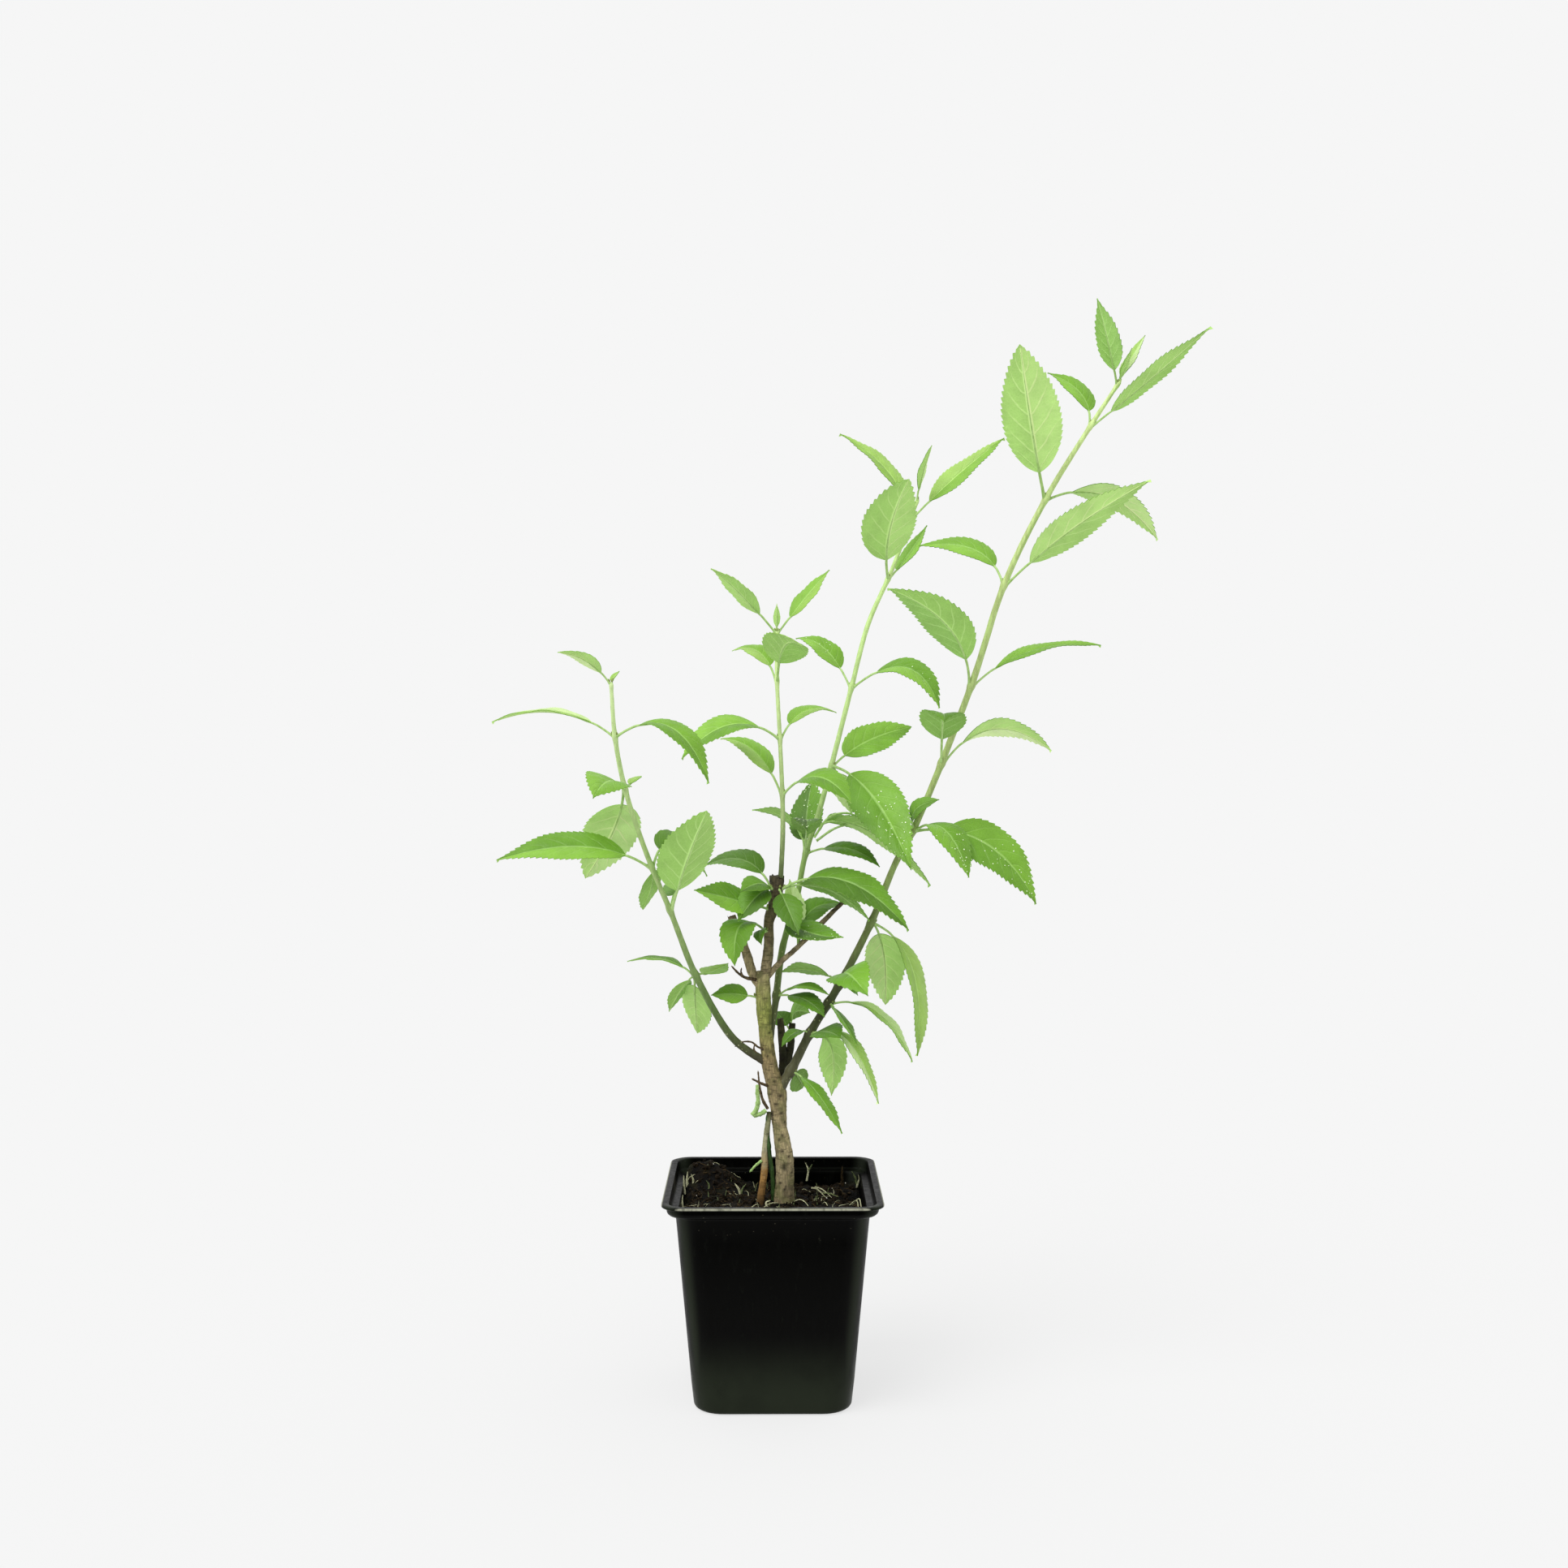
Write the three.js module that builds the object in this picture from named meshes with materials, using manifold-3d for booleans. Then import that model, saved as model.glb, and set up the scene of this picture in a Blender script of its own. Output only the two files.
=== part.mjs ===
// Forsythia, a young shrub in leaf, growing in a square nursery pot. Millimetres, +Z up.
// The origin is the centre of the pot's flat underside; the pot's front wall faces -Y.
import * as THREE from 'three';
import { mergeVertices } from 'three/addons/utils/BufferGeometryUtils.js';
import Module from 'manifold-3d';

const wasm = await Module();
wasm.setup();

// ---- Pot: nested square nursery pot, nominal 9 cm --------------------------------------
const POT_HEIGHT = 88;
const POT_RIM = 90;            // across the flange
const POT_SKIRT = 86;          // across the band under the flange
const POT_SHOULDER = 79;       // across the wall where the skirt begins
const POT_FOOT = 65.4;         // across the wall, carried down to the floor
const POT_WALL = 1.2;
const POT_FLOOR = 2;
const FLANGE_THICK = 1.3;
const SKIRT_DEPTH = 5.6;       // rim to the lower edge of the skirt
const EDGE_FILLET = 2.2;       // rounding between walls and underside
const CORNER_TOP = 9;
const CORNER_FOOT = 12.5;
const CORNER_STEPS = 3;
const DRAIN_RADIUS = 3.2;
const DRAIN_SPREAD = 20;       // drain holes from the centre, along x and y

// ---- Compost ---------------------------------------------------------------------------
const SOIL_TOP = 79.3;
const HEAP = { x: -27, y: 27, radius: 15, rise: 6.5 };

// ---- Gaps and facets -------------------------------------------------------------------
const GAP = 0.3;               // clearance between pieces that meet
const TIDY = 0.15;              // slivers finer than this are merged away
const LIMB_SIDES = 6;
const TRUNK_SIDES = 10;
const LIMB_STEP = 16;          // length of one facet along a limb

// ---- Leaves ----------------------------------------------------------------------------
const LEAF_STATIONS = [0, 0.18, 0.42, 0.74, 1];   // along the midrib
const LEAF_HALF = [0.8, 0.85, 0.48, 0.38, 0.5];   // first two and last in mm, the rest of the width
const LEAF_THICK = 1.3;
const WIDE = 16;               // leaves wider than this are folded along the midrib
const LEAF_FOLD = 0.16;        // lift of the margins over the midrib, per unit half width
const COLLAR_WALL = 1.1;
const COLLAR_HEIGHT = 3;

const COLOURS = {
  pot: '#0c0d0b', soil: '#1f1812', bark: '#857a5a', deadwood: '#4a4030', side: '#9a6f45',
  green_low: '#5a6b3a', green_top: '#9cbc66', leaf_dark: '#4a7a25', leaf_mid: '#6f9f3c',
  leaf_bright: '#7db043', leaf_pale: '#a9c78a',
};

// Every limb runs through a few points, foot first, each given as [x, y, z, radius].
const LIMBS = {
  trunk: {
    colour: 'bark', sides: TRUNK_SIDES, foot: SOIL_TOP + GAP,
    via: [[4.8, -3, 74, 5.6], [4.8, -3, 80, 4.7], [5, -2, 98, 3.8], [3, -1, 111, 3.1],
      [1.7, 0, 126, 4.1], [-1.1, 0, 136, 3.3], [-3.1, 0, 152, 2.9], [-4, 0, 166, 3.2], [-4, 0, 177, 3.1]],
  },
  fork_centre: {
    colour: 'deadwood',
    via: [[-3.4, 0, 173, 2.4], [-1.6, -1, 190, 2.2], [-1.6, -1, 198, 2.2], [1.3, -2, 208, 2.8],
      [1.7, -2, 217, 3.1]],
  },
  fork_left: {
    colour: 'deadwood',
    via: [[-5, 0, 171, 2.2], [-8.6, 1, 176, 2.1], [-10.4, 3, 182, 2], [-17.3, 8, 199, 1.8]],
  },
  fork_right: {
    colour: 'deadwood',
    via: [[-2, 0, 175, 1.5], [2, 0, 179.6, 1.2], [11.2, -1, 188, 1.1], [21, 0, 197.8, 1.1],
      [29.4, 2, 205.8, 0.9]],
  },
  stub_left: {
    colour: 'deadwood',
    via: [[2.6, 1, 124, 2], [4.4, 6.4, 137, 1.9], [3.2, 9, 155, 1.4]],
  },
  stub_right: {
    colour: 'deadwood',
    via: [[4.4, 5.6, 133, 2], [7.2, 8.8, 141, 1.6], [8.4, 11, 153, 1.4]],
  },
  side_stem: {
    colour: 'side', foot: SOIL_TOP + GAP,
    via: [[-5.8, -4, 74, 1.7], [-5.2, -4, 80.5, 1.6], [-3.4, -3.6, 94, 1.5], [-3.4, -3.4, 101, 1.3],
      [-2.6, -3.4, 109, 1.2], [-1.4, -3, 118, 1.1]],
  },
  shoot_left: {
    colour: 'green_low',
    via: [[-3, 0, 139, 2], [-6, -1, 140.7, 1.8], [-16.7, -5, 149.6, 1.6], [-31.6, -13, 176.5, 1.3],
      [-41.9, -22, 204.8, 1.1], [-49.1, -27, 223.1, 1], [-59, -34, 254, 0.9],
      [-62.7, -40, 275.9, 0.8], [-63.8, -45, 297.7, 0.8]],
  },
  shoot_centre: {
    colour: 'green_top',
    via: [[3.2, -2, 213, 1], [4.2, -5, 236, 0.9], [4, -7, 252, 0.9], [3, -8, 275, 0.8],
      [1.8, -6, 299.1, 0.8], [1.7, -3, 321.6, 0.8]],
  },
  shoot_middle: {
    colour: 'green_low',
    via: [[-1.6, 2, 147, 1.4], [1, 5, 162, 1.3], [4.1, 8, 185.5, 1.2], [10.3, 11, 207, 1.1],
      [13.8, 14, 224.5, 1.1], [20.9, 18, 246.9, 1], [34.2, 28, 296.9, 0.9], [41.9, 35, 325.1, 0.9],
      [52.9, 41, 349.8, 0.8], [64.8, 48, 381.9, 0.8]],
  },
  shoot_right: {
    colour: 'green_low',
    via: [[3, 0, 128, 2.1], [7.1, 0, 134, 2], [15.7, -1, 151, 1.8], [28.2, -2, 172, 1.4],
      [41.5, -3, 198.4, 1.3], [51.1, -5, 222.5, 1.2], [58.4, -7, 236.6, 1.2],
      [81.5, -15, 296.4, 1.1], [94.5, -21, 338.2, 1], [110.2, -26, 371.6, 0.9],
      [127.6, -29, 400.4, 0.9], [139.8, -31, 419.3, 0.8]],
  },
};

// Leaves by the node they grow from: the limb, the node's height on it, and for each leaf
// where its tip lies from the node, how far its middle bows in x and z, its width and roll.
const leaf = (tip, bow, width, roll, tone = 'leaf_mid') => ({ tip, bow, width, roll, tone });
const LEAF_MASSES = {
  left_1: ['shoot_left', 177, leaf([-29, 8, 5], [2, 4], 12, 0), leaf([13, 17, 3], [0, -1], 12, -5),
    leaf([-12, 14, -17], [0, 2], 10, 5), leaf([0, 19, -27], [0, 1], 16, -35)],
  left_2: ['shoot_left', 205, leaf([16, -28, 42], [-1, 0], 24, 5, 'leaf_pale'),
    leaf([8, 40, 17], [-1, 3], 18, 35)],
  left_3: ['shoot_left', 223, leaf([-61, -13, 4], [4, 7], 20, 30), leaf([22, 18, -5], [-3, 12], 18, -25),
    leaf([-5, 18, -19], [2, 2], 13, 35)],
  left_4: ['shoot_left', 255, leaf([-9, -38, -2], [0, 5], 18, 20),
    leaf([-19, 29, -38], [4, 2], 23, -20, 'leaf_pale')],
  left_5: ['shoot_left', 276, leaf([-51, 14, 6], [2, 7], 12, 5), leaf([38, -16, -18], [3, 13], 16, -10)],
  left_6: ['shoot_left', 297, leaf([-20, -9, 12], [1, 3], 9, -20, 'leaf_pale'),
    leaf([3, 3, 5], [-1, 0], 4, 0)],
  trunk_1: ['trunk', 166, leaf([-22, 0, 1], [0, 1], 12, 35)],
  crown_1: ['fork_centre', 212, leaf([-31, 10, 9], [3, 7], 18, 20, 'leaf_dark'),
    leaf([-15, -15, 0], [1, 3], 12, 25, 'leaf_dark'), leaf([54, -22, -15], [0, 12], 19, -25, 'leaf_dark'),
    leaf([39, -4, -13], [0, 7], 14, 30)],
  crown_2: ['fork_centre', 203, leaf([-32, -16, 10], [1, 0], 18, 40, 'leaf_bright'),
    leaf([29, -20, -9], [-1, -3], 18, -15, 'leaf_dark')],
  crown_3: ['fork_centre', 194, leaf([-14, -20, -12], [-4, 10], 16, -5, 'leaf_bright'),
    leaf([-3, -14, -4], [-2, 3], 6, -30)],
  crown_4: ['fork_right', 188, leaf([20, 16, 16], [-5, 6], 14, -20)],
  middle_1: ['shoot_middle', 166, leaf([22, -12, 2], [-1, 4], 11, -5), leaf([20, -20, -6], [1, 3], 12, -10)],
  middle_2: ['shoot_middle', 226, leaf([31, -12, -5], [1, 5], 15, -15, 'leaf_dark'),
    leaf([0, -38, 11], [0, 9], 13, 0, 'leaf_dark'), leaf([-23, 12, 18], [6, 4], 12, -30, 'leaf_pale'),
    leaf([3, 26, 30], [-1, -1], 17, 25, 'leaf_dark')],
  middle_3: ['shoot_middle', 237, leaf([49, -14, -24], [-3, 12], 15, 35, 'leaf_pale'),
    leaf([28, 15, -8], [-1, 6], 13, -25)],
  middle_4: ['shoot_middle', 263, leaf([31, -45, -41], [1, 8], 22, -35, 'leaf_bright'),
    leaf([9, 3, -21], [0, 2], 12, 35, 'leaf_pale'), leaf([36, 20, 17], [-3, 2], 17, -40, 'leaf_bright')],
  middle_5: ['shoot_middle', 297, leaf([-24, 14, 22], [1, 6], 14, 20), leaf([37, -16, -9], [4, 13], 16, -25)],
  middle_6: ['shoot_middle', 345, leaf([7, -28, 40], [-4, -1], 25, 5, 'leaf_pale'),
    leaf([18, 14, 25], [0, -1], 12, 5)],
  middle_7: ['shoot_middle', 372, leaf([43, 15, 38], [-1, 1], 14, -25), leaf([-31, 10, 39], [6, 2], 14, 20)],
  middle_8: ['shoot_middle', 380, leaf([6, -4, 24], [-1, 0], 9, -5)],
  centre_1: ['shoot_centre', 252, leaf([-26, 10, 23], [2, 6], 16, 15, 'leaf_dark'),
    leaf([28, -20, -3], [0, 9], 17, -20, 'leaf_dark')],
  centre_2: ['shoot_centre', 275, leaf([-40, -18, -8], [0, 10], 18, 20), leaf([24, 14, 11], [-2, 6], 13, -10)],
  centre_3: ['shoot_centre', 299, leaf([-19, 12, 13], [2, 6], 13, 15),
    leaf([10, -36, 13], [-2, 7], 19, 25, 'leaf_pale')],
  centre_4: ['shoot_centre', 319, leaf([-27, -10, 26], [-2, 4], 13, -15, 'leaf_pale'),
    leaf([22, 8, 27], [1, 2], 12, -15), leaf([0, -2, 12], [0, 0], 3, 0)],
  right_1: ['shoot_right', 135, leaf([21, -21, -22], [-1, 5], 10, 5)],
  right_2: ['shoot_right', 151, leaf([9, 3, -27], [4, 7], 13, 20),
    leaf([12, -24, 2], [0, 2], 14, -20, 'leaf_dark'), leaf([-12, -9, -4], [0, 3], 8, 5),
    leaf([28, -19, -26], [1, 12], 11, 5, 'leaf_pale')],
  right_3: ['shoot_right', 164, leaf([11, -22, -14], [-1, 3], 12, 35, 'leaf_pale'),
    leaf([35, -6, -24], [2, 9], 13, -5)],
  right_4: ['shoot_right', 172, leaf([10, -34, 0], [-3, 7], 18, -25, 'leaf_bright'),
    leaf([-25, 15, 3], [2, 3], 13, -30, 'leaf_pale'), leaf([8, 7, -6], [1, 1], 6, -50)],
  right_5: ['shoot_right', 198, leaf([7, 16, -37], [2, 4], 17, 5, 'leaf_pale'),
    leaf([19, -8, -55], [7, 9], 15, 5)],
  right_6: ['shoot_right', 237, leaf([21, -22, -18], [1, 10], 17, -5, 'leaf_dark'),
    leaf([50, -10, -30], [4, 10], 22, -45, 'leaf_bright'), leaf([10, -8, 13], [-5, 2], 9, -50)],
  right_7: ['shoot_right', 265, leaf([-2, -34, 17], [0, 10], 19, 5),
    leaf([47, 10, 5], [-2, 12], 14, 30, 'leaf_pale')],
  right_8: ['shoot_right', 297, leaf([-36, -24, 38], [8, 4], 19, -30, 'leaf_pale'),
    leaf([55, 10, 17], [-3, 6], 12, -15)],
  right_9: ['shoot_right', 338, leaf([-34, 14, 17], [6, 6], 15, 30),
    leaf([54, -26, 39], [-3, 1], 16, 40, 'leaf_pale')],
  right_10: ['shoot_right', 372, leaf([-14, -24, 57], [0, -3], 26, -15, 'leaf_pale'),
    leaf([50, 22, -14], [1, 10], 17, 15, 'leaf_pale')],
  right_11: ['shoot_right', 401, leaf([-16, 10, 23], [5, 2], 13, 25),
    leaf([45, -12, 37], [-3, -3], 11, 30, 'leaf_pale')],
  right_12: ['shoot_right', 417, leaf([-10, -10, 32], [1, -2], 11, -5, 'leaf_pale'),
    leaf([12, 6, 21], [-1, -1], 8, -5), leaf([5, -3, 14], [0, -1], 4, 15)],
  stub_1: ['stub_right', 150, leaf([8, 12, 6], [-4, 4], 12, 60, 'leaf_pale')],
};

// ---- Solids ----------------------------------------------------------------------------
const UP = new THREE.Vector3(0, 0, 1);
const BACK = new THREE.Vector3(0, 1, 0);

/** Turns a closed three.js geometry into a manifold solid. */
function solid(geometry) {
  const g = geometry.clone();
  g.deleteAttribute('normal');
  g.deleteAttribute('uv');
  const m = mergeVertices(g, 1e-4);
  return new wasm.Manifold(new wasm.Mesh({
    numProp: 3,
    vertProperties: new Float32Array(m.attributes.position.array),
    triVerts: new Uint32Array(m.index.array),
  }));
}

/** Turns a manifold solid back into a three.js geometry. */
function geometryOf(body) {
  const mesh = body.simplify(TIDY).getMesh();
  const g = new THREE.BufferGeometry();
  const xyz = new Float32Array(mesh.numVert * 3);
  for (let i = 0; i < mesh.numVert; i++) {
    for (let k = 0; k < 3; k++) xyz[3 * i + k] = mesh.vertProperties[mesh.numProp * i + k];
  }
  g.setAttribute('position', new THREE.BufferAttribute(xyz, 3));
  g.setIndex(new THREE.BufferAttribute(new Uint32Array(mesh.triVerts), 1));
  g.computeVertexNormals();
  return g;
}

/** The biggest of the separate lumps a cut has left. */
function mainLump(body) {
  const lumps = body.decompose();
  return lumps.reduce((a, b) => (b.volume() > a.volume() ? b : a));
}

/** Moves every vertex of a geometry through a function of its position. */
function reshape(geometry, move) {
  const p = geometry.attributes.position;
  const v = new THREE.Vector3();
  for (let i = 0; i < p.count; i++) {
    v.fromBufferAttribute(p, i);
    move(v);
    p.setXYZ(i, v.x, v.y, v.z);
  }
  return geometry;
}

// ---- Pot and compost -------------------------------------------------------------------
/** A square with rounded corners, centred on the origin. */
function roundedSquare(across, radius) {
  const h = across / 2;
  const s = new THREE.Shape();
  const corners = [[h, h, 0], [-h, h, 1], [-h, -h, 2], [h, -h, 3]];
  for (const [x, y, quarter] of corners) {
    const cx = x - Math.sign(x) * radius;
    const cy = y - Math.sign(y) * radius;
    for (let i = 0; i <= CORNER_STEPS; i++) {
      const a = (quarter + i / CORNER_STEPS) * Math.PI / 2;
      const at = [cx + radius * Math.cos(a), cy + radius * Math.sin(a)];
      if (quarter + i === 0) s.moveTo(...at); else s.lineTo(...at);
    }
  }
  return s;
}

/** A rounded square lofted between two levels, each given as [z, across, corner radius]. */
function tier([z0, across0, radius0], [z1, across1, radius1]) {
  const g = new THREE.ExtrudeGeometry(roundedSquare(across0, radius0),
    { depth: z1 - z0, bevelEnabled: false, curveSegments: 1 });
  const low = roundedSquare(across0, radius0).getPoints(1);
  const high = roundedSquare(across1, radius1).getPoints(1);
  reshape(g, (v) => {
    if (v.z < (z1 - z0) / 2) {
      v.z = z0;
    } else {
      const i = low.findIndex((q) => Math.hypot(q.x - v.x, q.y - v.y) < 1e-3);
      v.set(high[i].x, high[i].y, z1);
    }
  });
  return solid(g);
}

/** Stacks tiers through a list of levels into one solid. */
function loft(levels) {
  return levels.slice(1).map((top, i) => tier(levels[i], top)).reduce((a, b) => a.add(b));
}

const SHOULDER_Z = POT_HEIGHT - SKIRT_DEPTH;

/** Width of the pot's wall, outside, at a height. */
function wallAcross(z) {
  return POT_FOOT + (POT_SHOULDER - POT_FOOT) * (z / SHOULDER_Z);
}

/** Corner radius of the pot's wall at a height. */
function wallCorner(z) {
  return CORNER_FOOT + (CORNER_TOP - CORNER_FOOT) * (z / SHOULDER_Z);
}

/** The pot's hollow, drawn in by a clearance: wall, ledge and the space inside the skirt. */
function hollow(clearance, floor) {
  const off = 2 * (POT_WALL + clearance);
  const level = (z, across) => [z, across - off, Math.max(3, wallCorner(z) - off / 2)];
  return loft([
    level(floor, wallAcross(floor) - 2), level(floor + 2, wallAcross(floor + 2)),
    level(SHOULDER_Z, POT_SHOULDER), level(SHOULDER_Z + 0.6, POT_SKIRT),
    level(POT_HEIGHT + 1, POT_SKIRT)]);
}

function buildPot() {
  const body = loft([
    [0, POT_FOOT - 2.8, CORNER_FOOT - 1.4],
    [0.7, POT_FOOT - 0.8, CORNER_FOOT - 0.5],
    [EDGE_FILLET, wallAcross(EDGE_FILLET), CORNER_FOOT],
    [SHOULDER_Z - 0.6, wallAcross(SHOULDER_Z - 0.6), CORNER_TOP],
    [SHOULDER_Z, POT_SKIRT - 3.4, CORNER_TOP],
    [SHOULDER_Z + 1.6, POT_SKIRT, CORNER_TOP],
    [POT_HEIGHT - FLANGE_THICK, POT_SKIRT, CORNER_TOP],
    [POT_HEIGHT - FLANGE_THICK + 0.2, POT_RIM, CORNER_TOP],
    [POT_HEIGHT, POT_RIM, CORNER_TOP]]);
  let pot = body.subtract(hollow(0, POT_FLOOR));
  const drain = new THREE.CylinderGeometry(DRAIN_RADIUS, DRAIN_RADIUS, POT_FLOOR * 4, 6);
  drain.rotateX(Math.PI / 2);
  for (const sx of [-1, 1]) {
    for (const sy of [-1, 1]) {
      pot = pot.subtract(solid(drain.clone().translate(sx * DRAIN_SPREAD, sy * DRAIN_SPREAD, 0)));
    }
  }
  return pot;
}

function buildSoil() {
  const filling = hollow(GAP, POT_FLOOR + GAP);
  const lid = new THREE.BoxGeometry(120, 120, 40).translate(0, 0, SOIL_TOP + 20);
  const heap = new THREE.SphereGeometry(1, 10, 6);
  heap.scale(HEAP.radius, HEAP.radius, HEAP.rise).translate(HEAP.x, HEAP.y, SOIL_TOP);
  return filling.subtract(solid(lid)).add(solid(heap).intersect(filling));
}

// ---- Limbs -----------------------------------------------------------------------------
/** The curve, the radii and the frames of one limb, ready to be bent into. */
function limbPath(spec) {
  const points = spec.via.map(([x, y, z]) => new THREE.Vector3(x, y, z));
  const curve = new THREE.CatmullRomCurve3(points, false, 'centripetal');
  const rings = Math.max(4, Math.round(curve.getLength() / LIMB_STEP));
  const frames = curve.computeFrenetFrames(rings, false);
  const radius = (u) => {
    const t = Math.min(u, 0.9999) * (spec.via.length - 1);
    const i = Math.floor(t);
    return THREE.MathUtils.lerp(spec.via[i][3], spec.via[i + 1][3], t - i);
  };
  return { curve, rings, frames, radius, sides: spec.sides || LIMB_SIDES };
}

/** A cylinder bent along a limb's curve with its taper, fattened by a gap. */
function limbSolid(path, gap) {
  const g = new THREE.CylinderGeometry(1, 1, 1, path.sides, path.rings);
  reshape(g, (v) => {
    const ring = Math.round((v.y + 0.5) * path.rings);
    const u = ring / path.rings;
    const at = path.curve.getPointAt(u);
    const r = path.radius(path.curve.getUtoTmapping(u)) + gap;
    const end = ring === path.rings ? gap : 0;
    at.addScaledVector(path.frames.normals[ring], v.x * r);
    at.addScaledVector(path.frames.binormals[ring], -v.z * r);
    v.copy(at.addScaledVector(path.frames.tangents[ring], end));
  });
  return solid(g);
}

/** The point of a limb at a height, with its radius and direction. */
function nodeOn(path, z) {
  let low = 0;
  let high = 1;
  for (let i = 0; i < 30; i++) {
    const mid = (low + high) / 2;
    if (path.curve.getPoint(mid).z < z) low = mid; else high = mid;
  }
  return { at: path.curve.getPoint(low), along: path.curve.getTangent(low), radius: path.radius(low) };
}

// ---- Leaves ----------------------------------------------------------------------------
/** One leaf with its stalk as a thin pad: a box bent along the arching midrib. */
function leafSolid(node, { tip, bow, width, roll }) {
  const reach = new THREE.Vector3(...tip);
  const out = reach.clone().projectOnPlane(node.along).setLength(0.8 * node.radius);
  const start = node.at.clone().add(out);
  const end = node.at.clone().add(reach);
  const middle = start.clone().add(end).multiplyScalar(0.5);
  middle.add(new THREE.Vector3(2 * bow[0], 0, 2 * bow[1]));
  const midrib = new THREE.QuadraticBezierCurve3(start, middle, end);
  const rows = LEAF_STATIONS.length - 1;
  const g = new THREE.BoxGeometry(2, 1, 1, width > WIDE ? 2 : 1, rows, 1);
  reshape(g, (v) => {
    const row = Math.round((v.y + 0.5) * rows);
    const t = LEAF_STATIONS[row];
    const along = midrib.getTangent(t);
    const side = new THREE.Vector3().crossVectors(along, UP);
    if (side.length() < 0.15) side.crossVectors(along, BACK);
    side.normalize();
    const face = new THREE.Vector3().crossVectors(side, along);
    side.applyAxisAngle(along, -THREE.MathUtils.degToRad(roll));
    face.applyAxisAngle(along, -THREE.MathUtils.degToRad(roll));
    const blade = row > 1 && row < rows;
    const half = LEAF_HALF[row] * (blade ? width : 1);
    const lift = Math.abs(v.x) * half * (blade ? LEAF_FOLD : 0);
    const thick = LEAF_THICK * (row === rows ? 0.7 : 1);
    v.copy(midrib.getPoint(t).addScaledVector(side, v.x * half).addScaledVector(face, lift + v.z * thick));
  });
  const body = solid(g);
  return body.volume() > 0 ? body : solid(new THREE.BufferGeometry().copy(g).setIndex([...g.index.array].reverse()));
}

/** All leaves of one node with the collar that carries them, cut clear of the limbs. */
function leafMass(node, leaves, fattened) {
  const collar = new THREE.CylinderGeometry(1, 1, COLLAR_HEIGHT, LIMB_SIDES, 1);
  const r = node.radius + GAP + COLLAR_WALL;
  collar.scale(r, 1, r);
  collar.applyQuaternion(new THREE.Quaternion().setFromUnitVectors(BACK, node.along));
  collar.translate(node.at.x, node.at.y, node.at.z);
  let mass = solid(collar);
  for (const spec of leaves) mass = mass.add(leafSolid(node, spec));
  for (const limb of fattened) mass = mass.subtract(limb);
  return mainLump(mass);
}

// ---- Assembly --------------------------------------------------------------------------
const part = new THREE.Group();
part.name = 'forsythia_in_pot';

function place(name, body, colour, roughness) {
  const material = new THREE.MeshStandardMaterial({ color: COLOURS[colour], roughness, metalness: 0 });
  const mesh = new THREE.Mesh(geometryOf(body), material);
  mesh.name = name;
  part.add(mesh);
}

place('pot', buildPot(), 'pot', 0.35);
place('soil', buildSoil(), 'soil', 0.95);

const paths = {};
const fattened = [];
for (const [name, spec] of Object.entries(LIMBS)) {
  paths[name] = limbPath(spec);
  let limb = limbSolid(paths[name], 0);
  for (const earlier of fattened) limb = limb.subtract(earlier);
  if (spec.foot) {
    const ground = new THREE.BoxGeometry(40, 40, 20).translate(0, 0, spec.foot - 10);
    limb = limb.subtract(solid(ground));
  }
  fattened.push(limbSolid(paths[name], GAP));
  place(name, mainLump(limb), spec.colour, 0.8);
}

for (const [name, [limb, height, ...leaves]] of Object.entries(LEAF_MASSES)) {
  const mass = leafMass(nodeOn(paths[limb], height), leaves, fattened);
  place(`leaves_${name}`, mass, leaves[0].tone, 0.6);
}

export default part;
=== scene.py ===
"""Young forsythia in leaf in a square nursery pot: pot, compost, bark, shoots and leaves."""
import logging
import math
import random
from dataclasses import dataclass
from enum import Enum
from itertools import accumulate
from typing import Callable, Iterable, Union

import bmesh
import bpy
from mathutils import Matrix, Quaternion, Vector, noise


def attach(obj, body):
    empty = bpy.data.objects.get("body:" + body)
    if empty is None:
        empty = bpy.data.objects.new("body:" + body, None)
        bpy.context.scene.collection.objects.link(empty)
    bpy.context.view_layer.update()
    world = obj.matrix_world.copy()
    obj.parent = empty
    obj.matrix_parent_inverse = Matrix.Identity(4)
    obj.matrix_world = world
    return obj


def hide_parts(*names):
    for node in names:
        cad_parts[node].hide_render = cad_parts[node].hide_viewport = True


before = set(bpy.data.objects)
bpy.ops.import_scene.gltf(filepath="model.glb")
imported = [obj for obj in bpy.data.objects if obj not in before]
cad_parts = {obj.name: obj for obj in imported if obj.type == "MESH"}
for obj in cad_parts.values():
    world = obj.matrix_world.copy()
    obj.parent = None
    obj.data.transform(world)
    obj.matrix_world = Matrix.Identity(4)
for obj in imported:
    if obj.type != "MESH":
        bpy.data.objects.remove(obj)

log = logging.getLogger("forsythia")

MM = 0.001                 # the builders work in millimetres and scale once, at the end
BODY = "root"
UP = Vector((0.0, 0.0, 1.0))
BACK = Vector((0.0, 1.0, 0.0))
SHARP = math.radians(38)   # edges folded more than this stay crisp
TINY = 1e-9                # keeps a division from failing on a step of no length

Point = tuple[float, float, float]
Four = tuple[float, float, float, float]
Stops = tuple[tuple[float, str], ...]      # heights in millimetres, each with its colour
Material = bpy.types.Material
Socket = bpy.types.NodeSocket
Mesh = bmesh.types.BMesh
Vert = bmesh.types.BMVert
Edge = bmesh.types.BMEdge
Face = bmesh.types.BMFace
Value = Union[Socket, float, tuple]


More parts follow.
